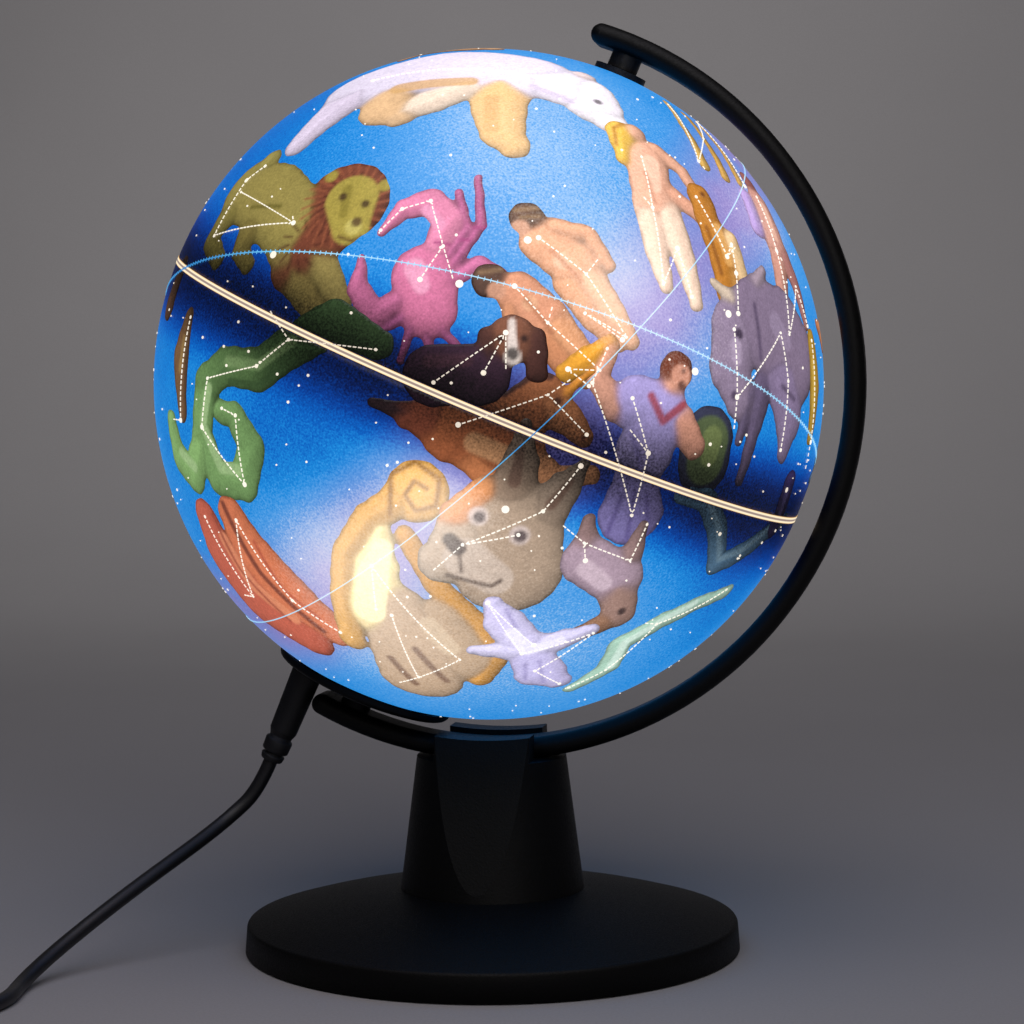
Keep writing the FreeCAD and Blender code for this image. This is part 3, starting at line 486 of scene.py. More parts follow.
# cream joint ring: light leaks through its two lips and less through the line between them
def seamColour(tree, level):
    place = add(tree, "ShaderNodeTexCoord").outputs["Object"]
    height = add(tree, "ShaderNodeVectorMath", {0: fromCentre(tree, place), 1: northward},
                 operation="DOT_PRODUCT").outputs["Value"]
    middle = add(tree, "ShaderNodeMath", {0: height}, operation="ABSOLUTE").outputs[0]
    return ramp(tree, add(tree, "ShaderNodeMapRange", {"Value": middle, 1: 0.0, 2: 0.00075}).outputs[0], [
        (0.0, tone("8f7d78")), (0.25, tone("a8948a")), (0.45, tone("fff0cf")), (0.85, tone("ffe9bd")),
        (1.0, tone("d9a860"))])


jointCream = glowing("joint_cream", seamColour, 0.2)
dress(jointCream, "joint_ring")
print("shells made")

# printed figures: each a set of limbs (colour, [(right, up, half width), ...]) in millimetres about a place on
# the ball (azimuth, height in degrees); marks are painted inside the outline
figures = {
    "snow_bear": {"place": (0, 57), "limbs": [
        ("ddd3e6", [(-20, 8, 12), (-4, 11, 14), (14, 9, 13)]), ("e3dae8", [(14, 9, 11), (25, 6, 9.5)]),
        ("e9e1ea", [(29, 7, 7.6), (32, 1, 7.4)]), ("efe8ee", [(34, -2, 5.4), (38.5, -5, 4.0)]),
        ("d9c4c4", [(28, 15.5, 3.0)]), ("dbcde2", [(-22, 5, 8.5), (-29, -4, 5.8), (-35, -11, 4.0)]),
        ("dcb488", [(-14, -1, 6.4), (-14, -8, 6.2), (-10, -11, 4.6)]),
        ("e0b57c", [(11, 2, 7.4), (12, -9, 6.4), (14, -18, 5.2), (17, -21.5, 3.8)]),
        ("e2ccb8", [(4, 0, 6.0), (-3, -7, 5.0), (-10, -10.5, 3.8)])],
        "marks": [("241820", [(39.6, -6.6, 1.8)]), ("2f2030", [(33.0, 3.0, 1.1)]),
            ("b79c96", [(34, -8, 0.5), (38, -8.6, 0.5)]), ("d8aa70", [(-12, 0.5, 2.4), (4, 1.5, 2.0)]),
            ("d8aa70", [(10, -6, 1.8), (11.5, -17, 1.6)]), ("cdbfd6", [(18, 2, 1.0), (27, -1, 1.0)])]},
    "lion": {"place": (-27, 29), "limbs": [
        ("96884a", [(-20, 8, 8.2), (-9, 4, 9.2), (2, -4, 9.0)]),
        ("8a7e42", [(-22, 3, 5.2), (-27, -4, 3.2), (-21, -10, 2.6)]),
        ("9c9050", [(-20, 12, 3), (-16, 15.5, 3.6)]),
        ("80723c", [(-11, -3, 4.6), (-13, -9, 2.8), (-9, -13, 2.2)]),
        ("927f48", [(2, -10, 5), (6, -17, 3.8), (13, -24, 3.0)]),
        ("98874e", [(9, -10, 4.4), (15, -16, 3.4), (19, -21.5, 2.8)]),
        ("74402e", [(13.5, 1.5, 10.6), (8, -7, 8.6), (4, -15, 4.8)])],
        "tufts": [(13.5, 1.5, 10.6, 26, "9c5a3e"), (13.5, 1.5, 8.0, 20, "4e281f"), (6, -9, 6.0, 12, "4e281f")],
        "marks": [("b0a24a", [(15, 2.4, 6.4), (17, -4, 4.6)]), ("8a7c34", [(13, 5.2, 1.2), (14.4, -1.5, 1.0)]),
            ("3c241e", [(12.6, 3.0, 1.0)]), ("3c241e", [(18.8, 1.6, 1.0)]), ("c8ba68", [(17.8, -4.2, 2.0)]),
            ("4a2c22", [(18.2, -3.0, 1.2)]),
            ("5d4026", [(15.0, -6.8, 0.4), (18.2, -7.6, 0.4), (20.4, -6.4, 0.4)]),
            ("a89a44", [(7.4, 8.4, 1.6)]), ("a89a44", [(21.6, 6.8, 1.6)]),
            ("6c632a", [(-14, 2, 0.5), (-4, 1, 0.5)])]},
    "crab": {"place": (0, 16), "limbs": [
        ("cf7398", [(0.5, 1, 7.2), (1.8, -6, 6.2)]), ("da83a4", [(3, 8, 3.0), (5, 14, 3.6), (1, 18.4, 3.2)]),
        ("d67da0", [(0, 18.4, 3.2), (-5, 17, 2.6), (-9.5, 11.5, 1.0)]),
        ("c86f98", [(-5, -4, 2.2), (-10, -7, 3.0), (-14, -1, 2.6), (-13.6, 6, 0.8)]),
        ("b9628f", [(5, 5, 1.3), (9, 12, 1.2), (6.5, 21, 0.9)]),
        ("b9628f", [(6, 3, 1.3), (12, 13, 1.2), (10.4, 25, 0.9)]),
        ("c46c96", [(6, 0, 1.6), (12, 4, 2.0), (17, 2, 1.1)]), ("b05e8e", [(4, -10, 1.1), (9.4, -15, 0.8)]),
        ("b05e8e", [(1.4, -11, 1.1), (3, -18, 0.8)]), ("b05e8e", [(-2, -10, 1.1), (-4, -17, 0.8)]),
        ("b05e8e", [(-4, -8, 1.1), (-11, -12, 0.8)])],
        "marks": [("f0a6c4", [(-1.6, 2.8, 2.4), (0, -1, 1.8)]), ("e79abb", [(3, 13, 1.4), (0, 16.6, 1.3)]),
            ("a03f74", [(2.4, 8.8, 0.4), (5.4, 8.2, 0.4)]), ("a03f74", [(8, 9.4, 0.4), (9.6, 9.4, 0.4)]),
            ("a03f74", [(10.6, 12.4, 0.4), (12.8, 12.4, 0.4)])]},
    "elder_twin": {"place": (20, 18), "limbs": [
        ("dba07c", [(-1, 6, 4.8), (6, 0.5, 5.4)]),
        ("e0ab88", [(8, -2, 4.4), (13.5, -9, 3.2), (18, -15.5, 1.8)]),
        ("d59a74", [(5, -3.5, 4.0), (9, -10.5, 3.0), (15, -16.5, 1.6)]),
        ("dba07c", [(2, 9.5, 2.2), (9.5, 8, 2.0), (13.6, 1, 1.5)]), ("5c4030", [(-3.6, 11.6, 3.9)])],
        "marks": [("d8a386", [(-5.2, 9.2, 2.0)]), ("8f7050", [(-6, 13.6, 0.5), (-1.2, 14, 0.5)]),
            ("8f7050", [(-5, 11.8, 0.4), (-0.8, 12, 0.4)]), ("e9bd9c", [(3, 1.6, 1.8)]),
            ("bf8262", [(1, 4, 0.5), (7, -2.6, 0.5)])]},
    "younger_twin": {"place": (14, 12), "limbs": [
        ("d09070", [(1.5, 3, 4.6), (7, -2.4, 5.0)]), ("d7996f", [(9, -4, 4.2), (14, -9, 3.0), (19, -13, 1.6)]),
        ("c8865f", [(7, -6.5, 3.8), (11, -12, 2.8), (16, -16, 1.4)]), ("cb8b66", [(0, 0, 2.2), (1, -8, 1.7)]),
        ("543a2e", [(-4.4, 5.6, 3.8)])],
        "marks": [("cf987c", [(-3, 3.4, 2.0)]), ("86684c", [(-6.6, 7.4, 0.5), (-2, 8, 0.5)]),
            ("e0ab86", [(4, 0.6, 1.7)]), ("ad7050", [(3, 1.6, 0.5), (8.6, -5.6, 0.5)])]},
    "charioteer": {"place": (44, 29), "limbs": [
        ("e2ab90", [(0, 13, 5.4), (-3, 1, 5.2)]),
        ("efccb4", [(-4.8, -2, 3.8), (-6, -11, 3.0), (-5.4, -19, 1.9)]),
        ("f0d0b8", [(-0.5, -2, 4.0), (0.8, -12, 3.2), (2, -23, 1.9)]),
        ("e0a88c", [(4, 16, 2.3), (9, 10, 2.0), (10.4, 4, 1.6)]), ("dda286", [(1, 5, 2.3), (8.6, -2, 2.0)]),
        ("e3b64e", [(-2.8, 20.8, 4.0), (-5.6, 13, 2.2)]), ("e2ac92", [(0.6, 21, 3.0)])],
        "marks": [("f3c6ac", [(1, 12, 2.0), (-1, 5, 1.6)]), ("c58d72", [(-2, 9, 0.5), (-2.6, 1, 0.5)]),
            ("b98038", [(-6, 17, 0.5), (-4, 22.5, 0.5), (-0.6, 24, 0.5)])]},
    "kid": {"place": (53, 24), "limbs": [
        ("b4762f", [(0.6, 10, 3.6), (0, 4, 3.8), (1, -6, 4.4), (-1, -14, 2.8)]),
        ("e2bf90", [(5, -1, 2.8), (6.4, -16, 1.7)]), ("c08a48", [(2.4, -8, 2.6), (2.6, -17, 1.6)])],
        "marks": [("5d3320", [(1.8, 10.6, 0.7)]), ("d9a460", [(2, 2, 1.3), (2.6, -6, 1.3)]),
            ("8a5526", [(-1.4, 2, 0.6), (-1, -9, 0.6)])]},
    "wanderer": {"place": (72, 22), "limbs": [
        ("b58274", [(5, 13, 4.6), (2, 2, 5.2)]), ("bd8878", [(0.5, 0, 3.8), (-4, -10, 2.8), (-5.4, -19, 1.6)]),
        ("9c6a64", [(4, -1, 3.6), (6, -9, 2.8), (7, -17, 1.6)]), ("8a5450", [(6, 19, 3.0)]),
        ("a58ac4", [(-2, 14, 2.6), (-5, 6, 2.8)])],
        "marks": [("7d4a4a", [(4, 9, 0.6), (2, 3, 0.6)]), ("d6a690", [(6, 12, 1.4), (3, 4, 1.4)])]},
    "reins": {"place": (67, 45), "limbs": [
        ("cfa65a", [(6, 14, 1.0), (-1, 4, 0.9), (-7, -10, 1.6)]),
        ("c89c50", [(9, 10, 1.0), (4, 0, 0.9), (-1, -13, 1.6)]),
        ("c4984e", [(12, 7, 1.0), (9, -3, 0.9), (5, -14, 1.4)])]},
    "bull": {"place": (58, 4), "limbs": [
        ("84748a", [(-6, 6, 8.0), (-9, -2, 6.4), (-6, -9, 4.6)]),
        ("7a6a80", [(2, 8, 10.5), (11, 5, 12), (18, 0, 10.5)]),
        ("80708e", [(12, -4, 9.5), (14, -13, 6.4), (13, -21, 2.6)]),
        ("5f536c", [(2, -6, 3.6), (-1, -17, 2.2), (-3, -27, 1.4)]),
        ("625670", [(-3, -8, 2.2), (-5.6, -18, 1.2)]), ("cdb9a4", [(-6, 13, 2.2), (-11, 17, 1.0)]),
        ("9a8894", [(4, 17, 2.6), (8, 20, 1.4)])],
        "marks": [("2c2034", [(-5.6, 5.4, 1.3)]), ("a493aa", [(-7, 0, 1.6), (-7, 3, 1.8)]),
            ("41344a", [(-8, -8, 1.0)]), ("5a4c64", [(1.4, 12, 0.6), (1.4, 0, 0.6)]),
            ("94839c", [(9, 8, 2.6), (13, 4, 2.2)]), ("574a62", [(10, -6, 0.6), (16, -9, 0.6)])]},
    "shield": {"place": (47, -10.5), "limbs": [("34364a", [(0, 2.5, 7.6), (0, -2.5, 7.2)])],
        "marks": [("58663f", [(0.4, 2.2, 5.8), (0.2, -2.2, 5.2)]), ("74814f", [(1.4, 3, 2.8), (1, -1, 2.4)])]},
    "hunter": {"place": (35, -5), "limbs": [
        ("a094c8", [(-2, 3, 6.2), (4, 1, 6.4), (0.5, -7, 7.0)]), ("867cb4", [(-1, -14, 5.6), (-1, -20.5, 8.0)]),
        ("d69c84", [(-7, 2, 3.0), (-11, 8.5, 2.7), (-8, 15, 2.0)]), ("cf937c", [(9, -1, 3.6), (13, -6.5, 3.0)]),
        ("dc9a34", [(-18, 9.5, 2.2), (-13, 12.5, 2.8), (-8, 16.0, 1.6)]), ("6a3828", [(7.8, 10, 4.2)]),
        ("d2977f", [(6.6, 6.6, 3.0)])],
        "marks": [("cf937c", [(8.8, 8.8, 2.5)]), ("4a2a26", [(9.0, 6.8, 1.0)]), ("3a2020", [(9.6, 9.8, 0.5)]),
            ("9c3a3a", [(1.4, 4.6, 0.9), (4.4, -0.8, 0.9), (9.4, 2.6, 0.9)]),
            ("685d96", [(-4, -17, 0.5), (-6, -26, 0.5)]), ("685d96", [(-1, -16, 0.5), (-1, -27, 0.5)]),
            ("685d96", [(2, -17, 0.5), (4, -26, 0.5)]), ("8579b4", [(-3, -3, 0.6), (0, -11, 0.6)])]},
    "colt": {"place": (14, -5), "limbs": [
        ("a8603c", [(-12, -2, 7.6), (-1, -5, 7.8)]), ("b06a44", [(0, -1, 6.6), (6, 4.5, 5.2)]),
        ("c07c52", [(6, 4.5, 4.8), (12, -0.5, 3.4), (15, -4, 2.4)]),
        ("8f4c36", [(-17, 0, 5.4), (-22, 0.5, 3.0)]), ("3e2c30", [(-22, 1, 2.2), (-30, 3.4, 1.0)]),
        ("cf8f64", [(3, -9, 4.2), (9, -13, 3.0), (17, -12.4, 2.2)]),
        ("c47a4e", [(-8, -8, 4), (-3, -14.5, 2.8), (3, -18.5, 1.8)]),
        ("e6973c", [(11, 5, 1.2), (17.4, 10, 0.6)])],
        "marks": [("33232a", [(-2, 6.4, 1.9), (4, 10, 1.7), (8, 9, 1.0)]), ("2c1c20", [(9.6, 3.6, 0.9)]),
            ("e2a878", [(-8, -5, 2.2), (-1, -8, 2.2)]), ("6a3a2a", [(15, -4.4, 0.6)]),
            ("7c4430", [(-4, 1, 0.5), (0, -3, 0.5)])]},
    "pup": {"place": (10, 4.5), "limbs": [
        ("43293c", [(-11, -4, 6.6), (-1, -4, 6.4)]), ("7a4c38", [(5.6, 3.4, 5.2)]),
        ("4c2c26", [(0.8, 3.6, 2.6), (0.4, -3, 2.4)]), ("4c2c26", [(10.4, 3.4, 2.6), (10.8, -3.4, 2.4)])],
        "marks": [("f0e2da", [(5.6, 7.2, 0.7), (5.6, 2.0, 1.1)]), ("efe0d6", [(5.7, -0.2, 1.8)]),
            ("140c10", [(5.7, 0.4, 1.3)]), ("1c1014", [(3.2, 3.6, 0.8)]), ("1c1014", [(8.2, 3.6, 0.8)]),
            ("5e3a48", [(-12, -1, 1.4), (-4, -1, 1.4)])]},
    "serpent": {"place": (-30, -3), "limbs": [
        ("46603a", [(33, 13, 3.4), (22, 18, 5.2), (12, 13, 5.0), (3, 8, 4.6)]),
        ("5c7a4a", [(3, 8, 4.6), (-8, 9, 4.4), (-15, 5, 4.4)]),
        ("74985e", [(-15, 5, 4.4), (-18, -6, 4.2), (-14, -16, 4.4), (-5, -17, 4.4), (-0.5, -9, 4.0),
         (-5, -2, 3.2), (-10, -1, 2.6)]),
        ("82a868", [(-19, -9, 4.0), (-25, -16, 4.6), (-32, -12, 4.2), (-34, -4, 3.0)])],
        "marks": [("a2c088", [(-14, 4, 1.3), (-17, -4, 1.3), (-12, -13.6, 1.5), (-6, -14, 1.3)]),
            ("86a46c", [(12, 14, 1.2), (3, 9, 1.2), (-7, 10, 1.2)]),
            ("3e5634", [(-6, 5.6, 0.8), (3, 4.6, 0.8), (10, 8.4, 0.8)]),
            ("a6c48c", [(-24, -14, 1.4), (-30, -11, 1.3)])]},
    "goblet": {"place": (-49, 3), "limbs": [("77583c", [(1, 12, 2.0), (-1, 3, 4.2), (0, -10, 2.0)])],
        "marks": [("a0804e", [(0, 7, 0.8), (-1, 0, 0.8)]), ("523a28", [(2, 4, 0.5), (2, -4, 0.5)])]},
    "sail": {"place": (-38, -31), "limbs": [
        ("b55c48", [(-14, 12, 5.4), (-13, 2, 8.4), (-8, -9, 9.4), (2, -19, 7.0)]),
        ("c4704e", [(-2, 14, 5.0), (1, 3, 8.0), (6, -8, 8.6), (13, -17, 5.4)])],
        "marks": [("d98a66", [(-9, 8, 2.0), (-6, -4, 2.4), (2, -13, 2.0)]),
            ("66342c", [(-4, 17, 0.9), (0, 0, 0.9), (9, -17, 0.9)]),
            ("96483a", [(-10, 14, 0.5), (-8, 0, 0.5), (0, -14, 0.5)]),
            ("a8503c", [(3, 8, 0.5), (5, -4, 0.5), (11, -13, 0.5)])]},
    "prow": {"place": (-6, -32), "limbs": [
        ("ad937a", [(-3, -8, 8), (0, -19, 12), (-3, -32, 10)]), ("a88e74", [(7, -11, 6.8), (9, -24, 8.6)]),
        ("e8d096", [(-2.4, 13, 2.4), (-5, 4, 5.4), (-8, -8, 7.0)]),
        ("c79650", [(2, 20, 4), (-5, 16, 3.4), (-12, 7, 3.0), (-15, -5, 3.0), (-16, -19, 3.4)]),
        ("bd8842", [(3, 12, 2.4), (8, -1, 2.8), (15, -13, 3.0), (17, -24, 3.0), (11, -33, 2.8)]),
        ("d6a255", [(6.8, 22, 7.0)])],
        "marks": [("f4e3b4", [(-2.6, 9, 2.2), (-6, 2, 3.6), (-9, -8, 3.8)]),
            ("8a5e2c", [(0.2, 17, 0.5), (1.4, 26, 0.5), (7, 28.6, 0.5), (12, 24.6, 0.5), (10.6, 18.6, 0.5),
             (6, 17.8, 0.5), (4, 21.4, 0.5), (6.4, 24.4, 0.5), (9, 22.6, 0.5)]),
            ("6f5040", [(-1, -20, 0.9), (3, -33, 0.9)]), ("6f5040", [(-8, -24, 0.9), (-5, -35, 0.9)]),
            ("c8b094", [(4, -12, 2.4), (7, -20, 2.4)])]},
    "hound": {"place": (12, -26), "limbs": [
        ("a08b78", [(3, 5, 10.8), (2, -4, 12.2)]), ("aa9684", [(-8, 0, 8.4), (-12, -3, 5.6)]),
        ("8f7c6c", [(9, 8, 5.4), (14, 14, 3.8), (18.6, 19, 1.2)]),
        ("8a7564", [(2.6, 13, 5.6), (4.6, 20, 4.0), (5.6, 28, 1.4)]),
        ("cb8a5c", [(-9, 8, 4.0), (-3, 13.4, 3.8)])],
        "marks": [("c2b0a2", [(-7, -2, 5.0), (-1, -7, 4.2)]), ("32242a", [(-10.4, 2.4, 1.7), (-8.8, 0.6, 1.9)]),
            ("c9b8b2", [(-4.4, 8.2, 2.2)]), ("3a2c34", [(-4.2, 8.0, 1.3)]), ("c9b8b2", [(4.4, 3.6, 2.3)]),
            ("3a2c34", [(4.5, 3.4, 1.4)]), ("4f3e38", [(-8.4, -1.4, 0.4), (-8, -5.4, 0.4)]),
            ("4f3e38", [(-11, -6.4, 0.5), (-7.4, -7.4, 0.5), (-1.6, -9, 0.5), (0.4, -7.6, 0.5)]),
            ("6d5347", [(11, 10.4, 1.3), (15.4, 15.4, 0.8)]), ("6d5347", [(3.2, 16, 1.5), (4.6, 23, 0.9)])]},
    "hare": {"place": (31, -31), "limbs": [
        ("a08a98", [(-4, 4, 6.2), (4, -1, 6.2)]), ("8f7472", [(-5, 8, 3.0), (-5.4, 14, 1.5)]),
        ("8f7472", [(6, 5, 3.0), (7.6, 12, 1.3)]), ("94766c", [(5, -4, 4.6), (7, -11, 4.2)]),
        ("8a6650", [(4, -13.4, 3.0), (-3, -17.6, 2.2), (-11, -21.4, 1.2)])],
        "marks": [("241a20", [(7.4, -10.4, 1.1)]), ("c8b2be", [(-4, 2, 2.2), (1, -2, 2.0)]),
            ("6f5444", [(2, -14.6, 0.4), (-8, -20, 0.4)])]},
    "dove": {"place": (19, -46), "limbs": [
        ("c2bbde", [(0, 0, 4.6), (-6, 8, 4.8), (-9, 13.4, 2.4)]),
        ("c9c3e4", [(-12, -1.6, 1.6), (0, -0.6, 4.2), (8, 2.4, 3.2), (14, 4.4, 1.8)]),
        ("b6afd6", [(1, -3, 5), (4, -10, 6), (9, -15, 3.2)])],
        "marks": [("9a92c0", [(3, -5, 0.5), (5.4, -15, 0.5)]), ("9a92c0", [(0, -6, 0.5), (1, -13, 0.5)]),
            ("9a92c0", [(-2, 4, 0.5), (-6, 12, 0.5)]), ("e6e2f4", [(-4, 5, 1.6), (0, -1, 1.6), (7, 2, 1.2)])]},
    "stream": {"place": (56, -25), "limbs": [
        ("587a96", [(-17, 10, 2.0), (-9, 9, 2.8), (-3, 2, 3.0), (1, -7, 2.8), (8, -5, 2.8), (18, -1, 2.4),
         (27, 1, 1.6)])],
        "marks": [("85a4b8", [(-9, 9.4, 0.8), (-3, 2.6, 0.8), (1.4, -5.6, 0.8), (9, -4, 0.8), (18, 0, 0.6)])]},
    "brook": {"place": (48, -44), "limbs": [
        ("9fc0ae", [(21, 9, 2.0), (11, 8, 2.4), (2, 4, 2.8), (-6, -3, 3.0), (-4, -12, 3.2), (-8, -22, 2.0)])],
        "marks": [("cfe4d8", [(10, 8.4, 0.9), (2, 4.6, 0.9), (-5, -2.4, 1.1), (-3.4, -12, 1.2)])]},
    "ram_fleece": {"place": (79, 0), "limbs": [("a8842e", [(0, 10, 2.8), (1, -1, 4.2), (0, -12, 2.2)])],
        "marks": [("c9a548", [(0, 5, 1.1), (0, -5, 1.1)])]},
    "dusk_fish": {"place": (73, -20), "limbs": [("3f3568", [(0, 5, 3.2), (0, -5, 3.4)])],
        "marks": [("6a5f98", [(0, 3, 1.1), (0, -3, 1.1)])]},
    "leaf": {"place": (-60, 16), "limbs": [("6d4c38", [(2, 6, 2.8), (0, -3, 3.8)])]},
    "brown_bear": {"place": (-20, 78), "limbs": [
        ("b98a62", [(-8, 2, 4), (4, 3, 4.4)]), ("b98a62", [(-7, 0, 2), (-9, -7, 1.4)]),
        ("c79a70", [(9, 4, 2.8)])]},
    # figures on the side away from the front
    "swan": {"place": (150, 50), "limbs": [
        ("dfe3ec", [(-4, 0, 6), (8, 2, 5)]), ("e6e9f0", [(-8, 4, 3), (-14, 12, 1.8), (-22, 12, 1.5)]),
        ("d3d8e6", [(0, 2, 5), (4, 14, 4), (10, 22, 1.6)]),
        ("d3d8e6", [(2, -2, 4.6), (8, -13, 3.4), (14, -19, 1.5)])],
        "marks": [("e2a040", [(-23, 12, 1.0)])]},
    "winged_horse": {"place": (110, 28), "limbs": [
        ("a9a3b4", [(-8, 0, 6.4), (6, 1, 6.6)]), ("b4aec0", [(8, 4, 4.4), (15, 12, 3.2), (21, 9, 2.2)]),
        ("98919f", [(-12, -4, 3), (-17, -13, 2), (-14, -20, 1.4)]),
        ("98919f", [(8, -4, 3), (14, -11, 2), (20, -15, 1.4)]),
        ("cfc8da", [(-2, 4, 4.6), (-10, 14, 4), (-20, 19, 2)])],
        "marks": [("2c2430", [(17.5, 10.6, 0.7)])]},
    "whale": {"place": (112, -22), "limbs": [
        ("4f6f95", [(-14, 0, 4), (0, 2, 9), (12, 1, 7)]),
        ("5a7ba0", [(-14, 1, 3.4), (-24, 8, 2.0), (-29, 13, 1.4)]), ("5a7ba0", [(-24, 8, 1.8), (-31, 6, 1.2)]),
        ("46658a", [(2, -5, 3.2), (-4, -12, 1.6)])],
        "marks": [("16202e", [(13, 3, 0.9)]), ("9db6cf", [(8, -4, 0.7), (17, -3, 0.7)])]},
    "pair_of_fish": {"place": (95, 8), "limbs": [
        ("b8764e", [(-12, 3, 1.4), (-5, 0, 4), (4, 1, 1.2)]), ("b8764e", [(4, 1, 1.2), (7, 4, 1.6)]),
        ("c78a58", [(10, -8, 1.2), (18, -6, 3.8), (25, -2, 1.4)])],
        "marks": [("3a241c", [(-8, 1.4, 0.6)])]},
    "eagle": {"place": (-165, 12), "limbs": [
        ("7a5636", [(0, -6, 4), (0, 6, 4.4)]), ("8a6440", [(0, 10, 2.8), (4, 13, 2.2)]),
        ("6c4a2e", [(-3, 3, 4), (-14, 9, 4.2), (-25, 5, 2)]), ("6c4a2e", [(3, 3, 4), (14, 9, 4.2), (25, 5, 2)]),
        ("7a5636", [(0, -8, 3.4), (0, -17, 4.2)])],
        "marks": [("e0b040", [(6.4, 13, 0.7)])]},
    "scorpion": {"place": (-140, -28), "limbs": [
        ("9c4632", [(-10, 2, 4.6), (2, 0, 4.6), (10, -4, 3)]),
        ("8c3c2c", [(10, -4, 2.6), (18, -6, 2), (22, 2, 1.8), (18, 8, 1.4)]),
        ("a04c36", [(-13, 5, 1.8), (-19, 12, 2.8)]), ("a04c36", [(-13, -1, 1.8), (-21, -7, 2.8)]),
        ("8c3c2c", [(-5, 5, 1), (-7, 13, 0.8)]), ("8c3c2c", [(1, 4, 1), (1, 12, 0.8)]),
        ("8c3c2c", [(-3, -4, 1), (-6, -12, 0.8)])]},
    "centaur_bow": {"place": (175, -28), "limbs": [
        ("a87c5a", [(-10, -4, 5.6), (4, -3, 5.8)]), ("c69678", [(6, 0, 4), (7, 12, 3.6)]),
        ("5a4034", [(8, 18, 2.8)]), ("c69678", [(8, 12, 1.8), (18, 13, 1.4)]),
        ("976c4c", [(-13, -7, 2.6), (-16, -18, 1.6)]), ("976c4c", [(-6, -8, 2.4), (-7, -18, 1.5)]),
        ("976c4c", [(5, -7, 2.6), (8, -18, 1.5)])]},
    "harp": {"place": (-170, 45), "limbs": [
        ("c9a044", [(-7, -8, 2), (-9, 4, 1.8), (-5, 10, 1.6)]),
        ("c9a044", [(7, -8, 2), (9, 4, 1.8), (5, 10, 1.6)]), ("b98d36", [(-8, -8, 2.4), (8, -8, 2.4)]),
        ("b98d36", [(-6, 8, 1.4), (6, 8, 1.4)])]},
    "herdsman": {"place": (-110, 38), "limbs": [
        ("cf9a7c", [(0, 8, 4.6), (0, -2, 4.6)]), ("5a7ea8", [(0, -4, 5), (0, -10, 5.6)]),
        ("cf9a7c", [(-2, -12, 2.6), (-5, -24, 1.6)]), ("cf9a7c", [(3, -12, 2.6), (6, -23, 1.6)]),
        ("5f4030", [(0, 16, 3)]), ("cf9a7c", [(4, 10, 1.8), (13, 15, 1.5)]),
        ("cf9a7c", [(-4, 10, 1.8), (-12, 4, 1.5)])]},
    "maiden": {"place": (-90, 2), "limbs": [
        ("b08ac0", [(-4, 4, 4.4), (4, 0, 5), (14, -5, 6)]), ("d6a288", [(-10, 7, 2.6)]),
        ("d6a288", [(-4, 8, 1.6), (-3, 16, 1.3)]), ("e8dcf0", [(-2, 7, 3), (6, 14, 2)])],
        "marks": [("8d68a0", [(2, 0, 0.6), (14, -7, 0.6)])]},
    "scales": {"place": (-115, -10), "limbs": [
        ("c0a050", [(-10, 6, 0.9), (10, 6, 0.9)]), ("c0a050", [(0, 10, 1.0), (0, -8, 1.0)]),
        ("b8933e", [(-14, -5, 1.6), (-6, -5, 1.6)]), ("b8933e", [(6, -5, 1.6), (14, -5, 1.6)])]},
    "long_serpent": {"place": (-100, -42), "limbs": [
        ("5d8a44", [(-24, 4, 2), (-14, 8, 3.2), (-4, 2, 3.4), (6, -3, 3.4), (16, 2, 3.2), (24, 9, 2.6)])],
        "marks": [("86ad60", [(-14, 7, 0.8), (-4, 1, 0.8), (6, -4, 0.8), (16, 1, 0.8)])]},
    "archer_bird": {"place": (140, -50), "limbs": [
        ("8fa0b8", [(0, 0, 4), (10, 3, 3)]), ("8fa0b8", [(2, 2, 3.4), (-4, 12, 3), (-12, 16, 1.6)]),
        ("a9b8cc", [(11, 4, 2), (19, 8, 1.4)])]},
    "dolphin": {"place": (160, 15), "limbs": [
        ("5f8fb4", [(-10, -2, 2), (-2, 2, 4.2), (8, 0, 2.6), (13, -4, 1.4)]),
        ("5f8fb4", [(-10, -2, 1.6), (-14, 3, 1.6)])],
        "marks": [("16202c", [(8, 1, 0.6)])]},
}
# heights and depth in metres; grid cell, drawn edge, gap at the seam, softening and wobble in millimetres
prints = {"lift": 0.00003, "step": 0.000003, "sink": 0.00010, "cell": 0.5, "edge": 0.75, "seamGap": 0.95,
          "join": 0.55, "toneJoin": 0.6, "wobble": 0.15, "round": 2.6, "cover": 0.85}


# distance from each point to a tapered chain, negative inside, in millimetres
def limbDistance(grid, limb):
    links = list(zip(limb, limb[1:])) or [(limb[0], limb[0])]
    best = None
    for (x0, y0, w0), (x1, y1, w1) in links:
        run = np.array([x1 - x0, y1 - y0])
        length = max(float(run @ run), 1e-9)
        part = np.clip(((grid - (x0, y0)) @ run) / length, 0, 1)
        width = w0 + part * (w1 - w0)
        reach = np.hypot(grid[..., 0] - x0 - part * run[0], grid[..., 1] - y0 - part * run[1]) - width
        best = reach if best is None else np.minimum(best, reach)
    return best


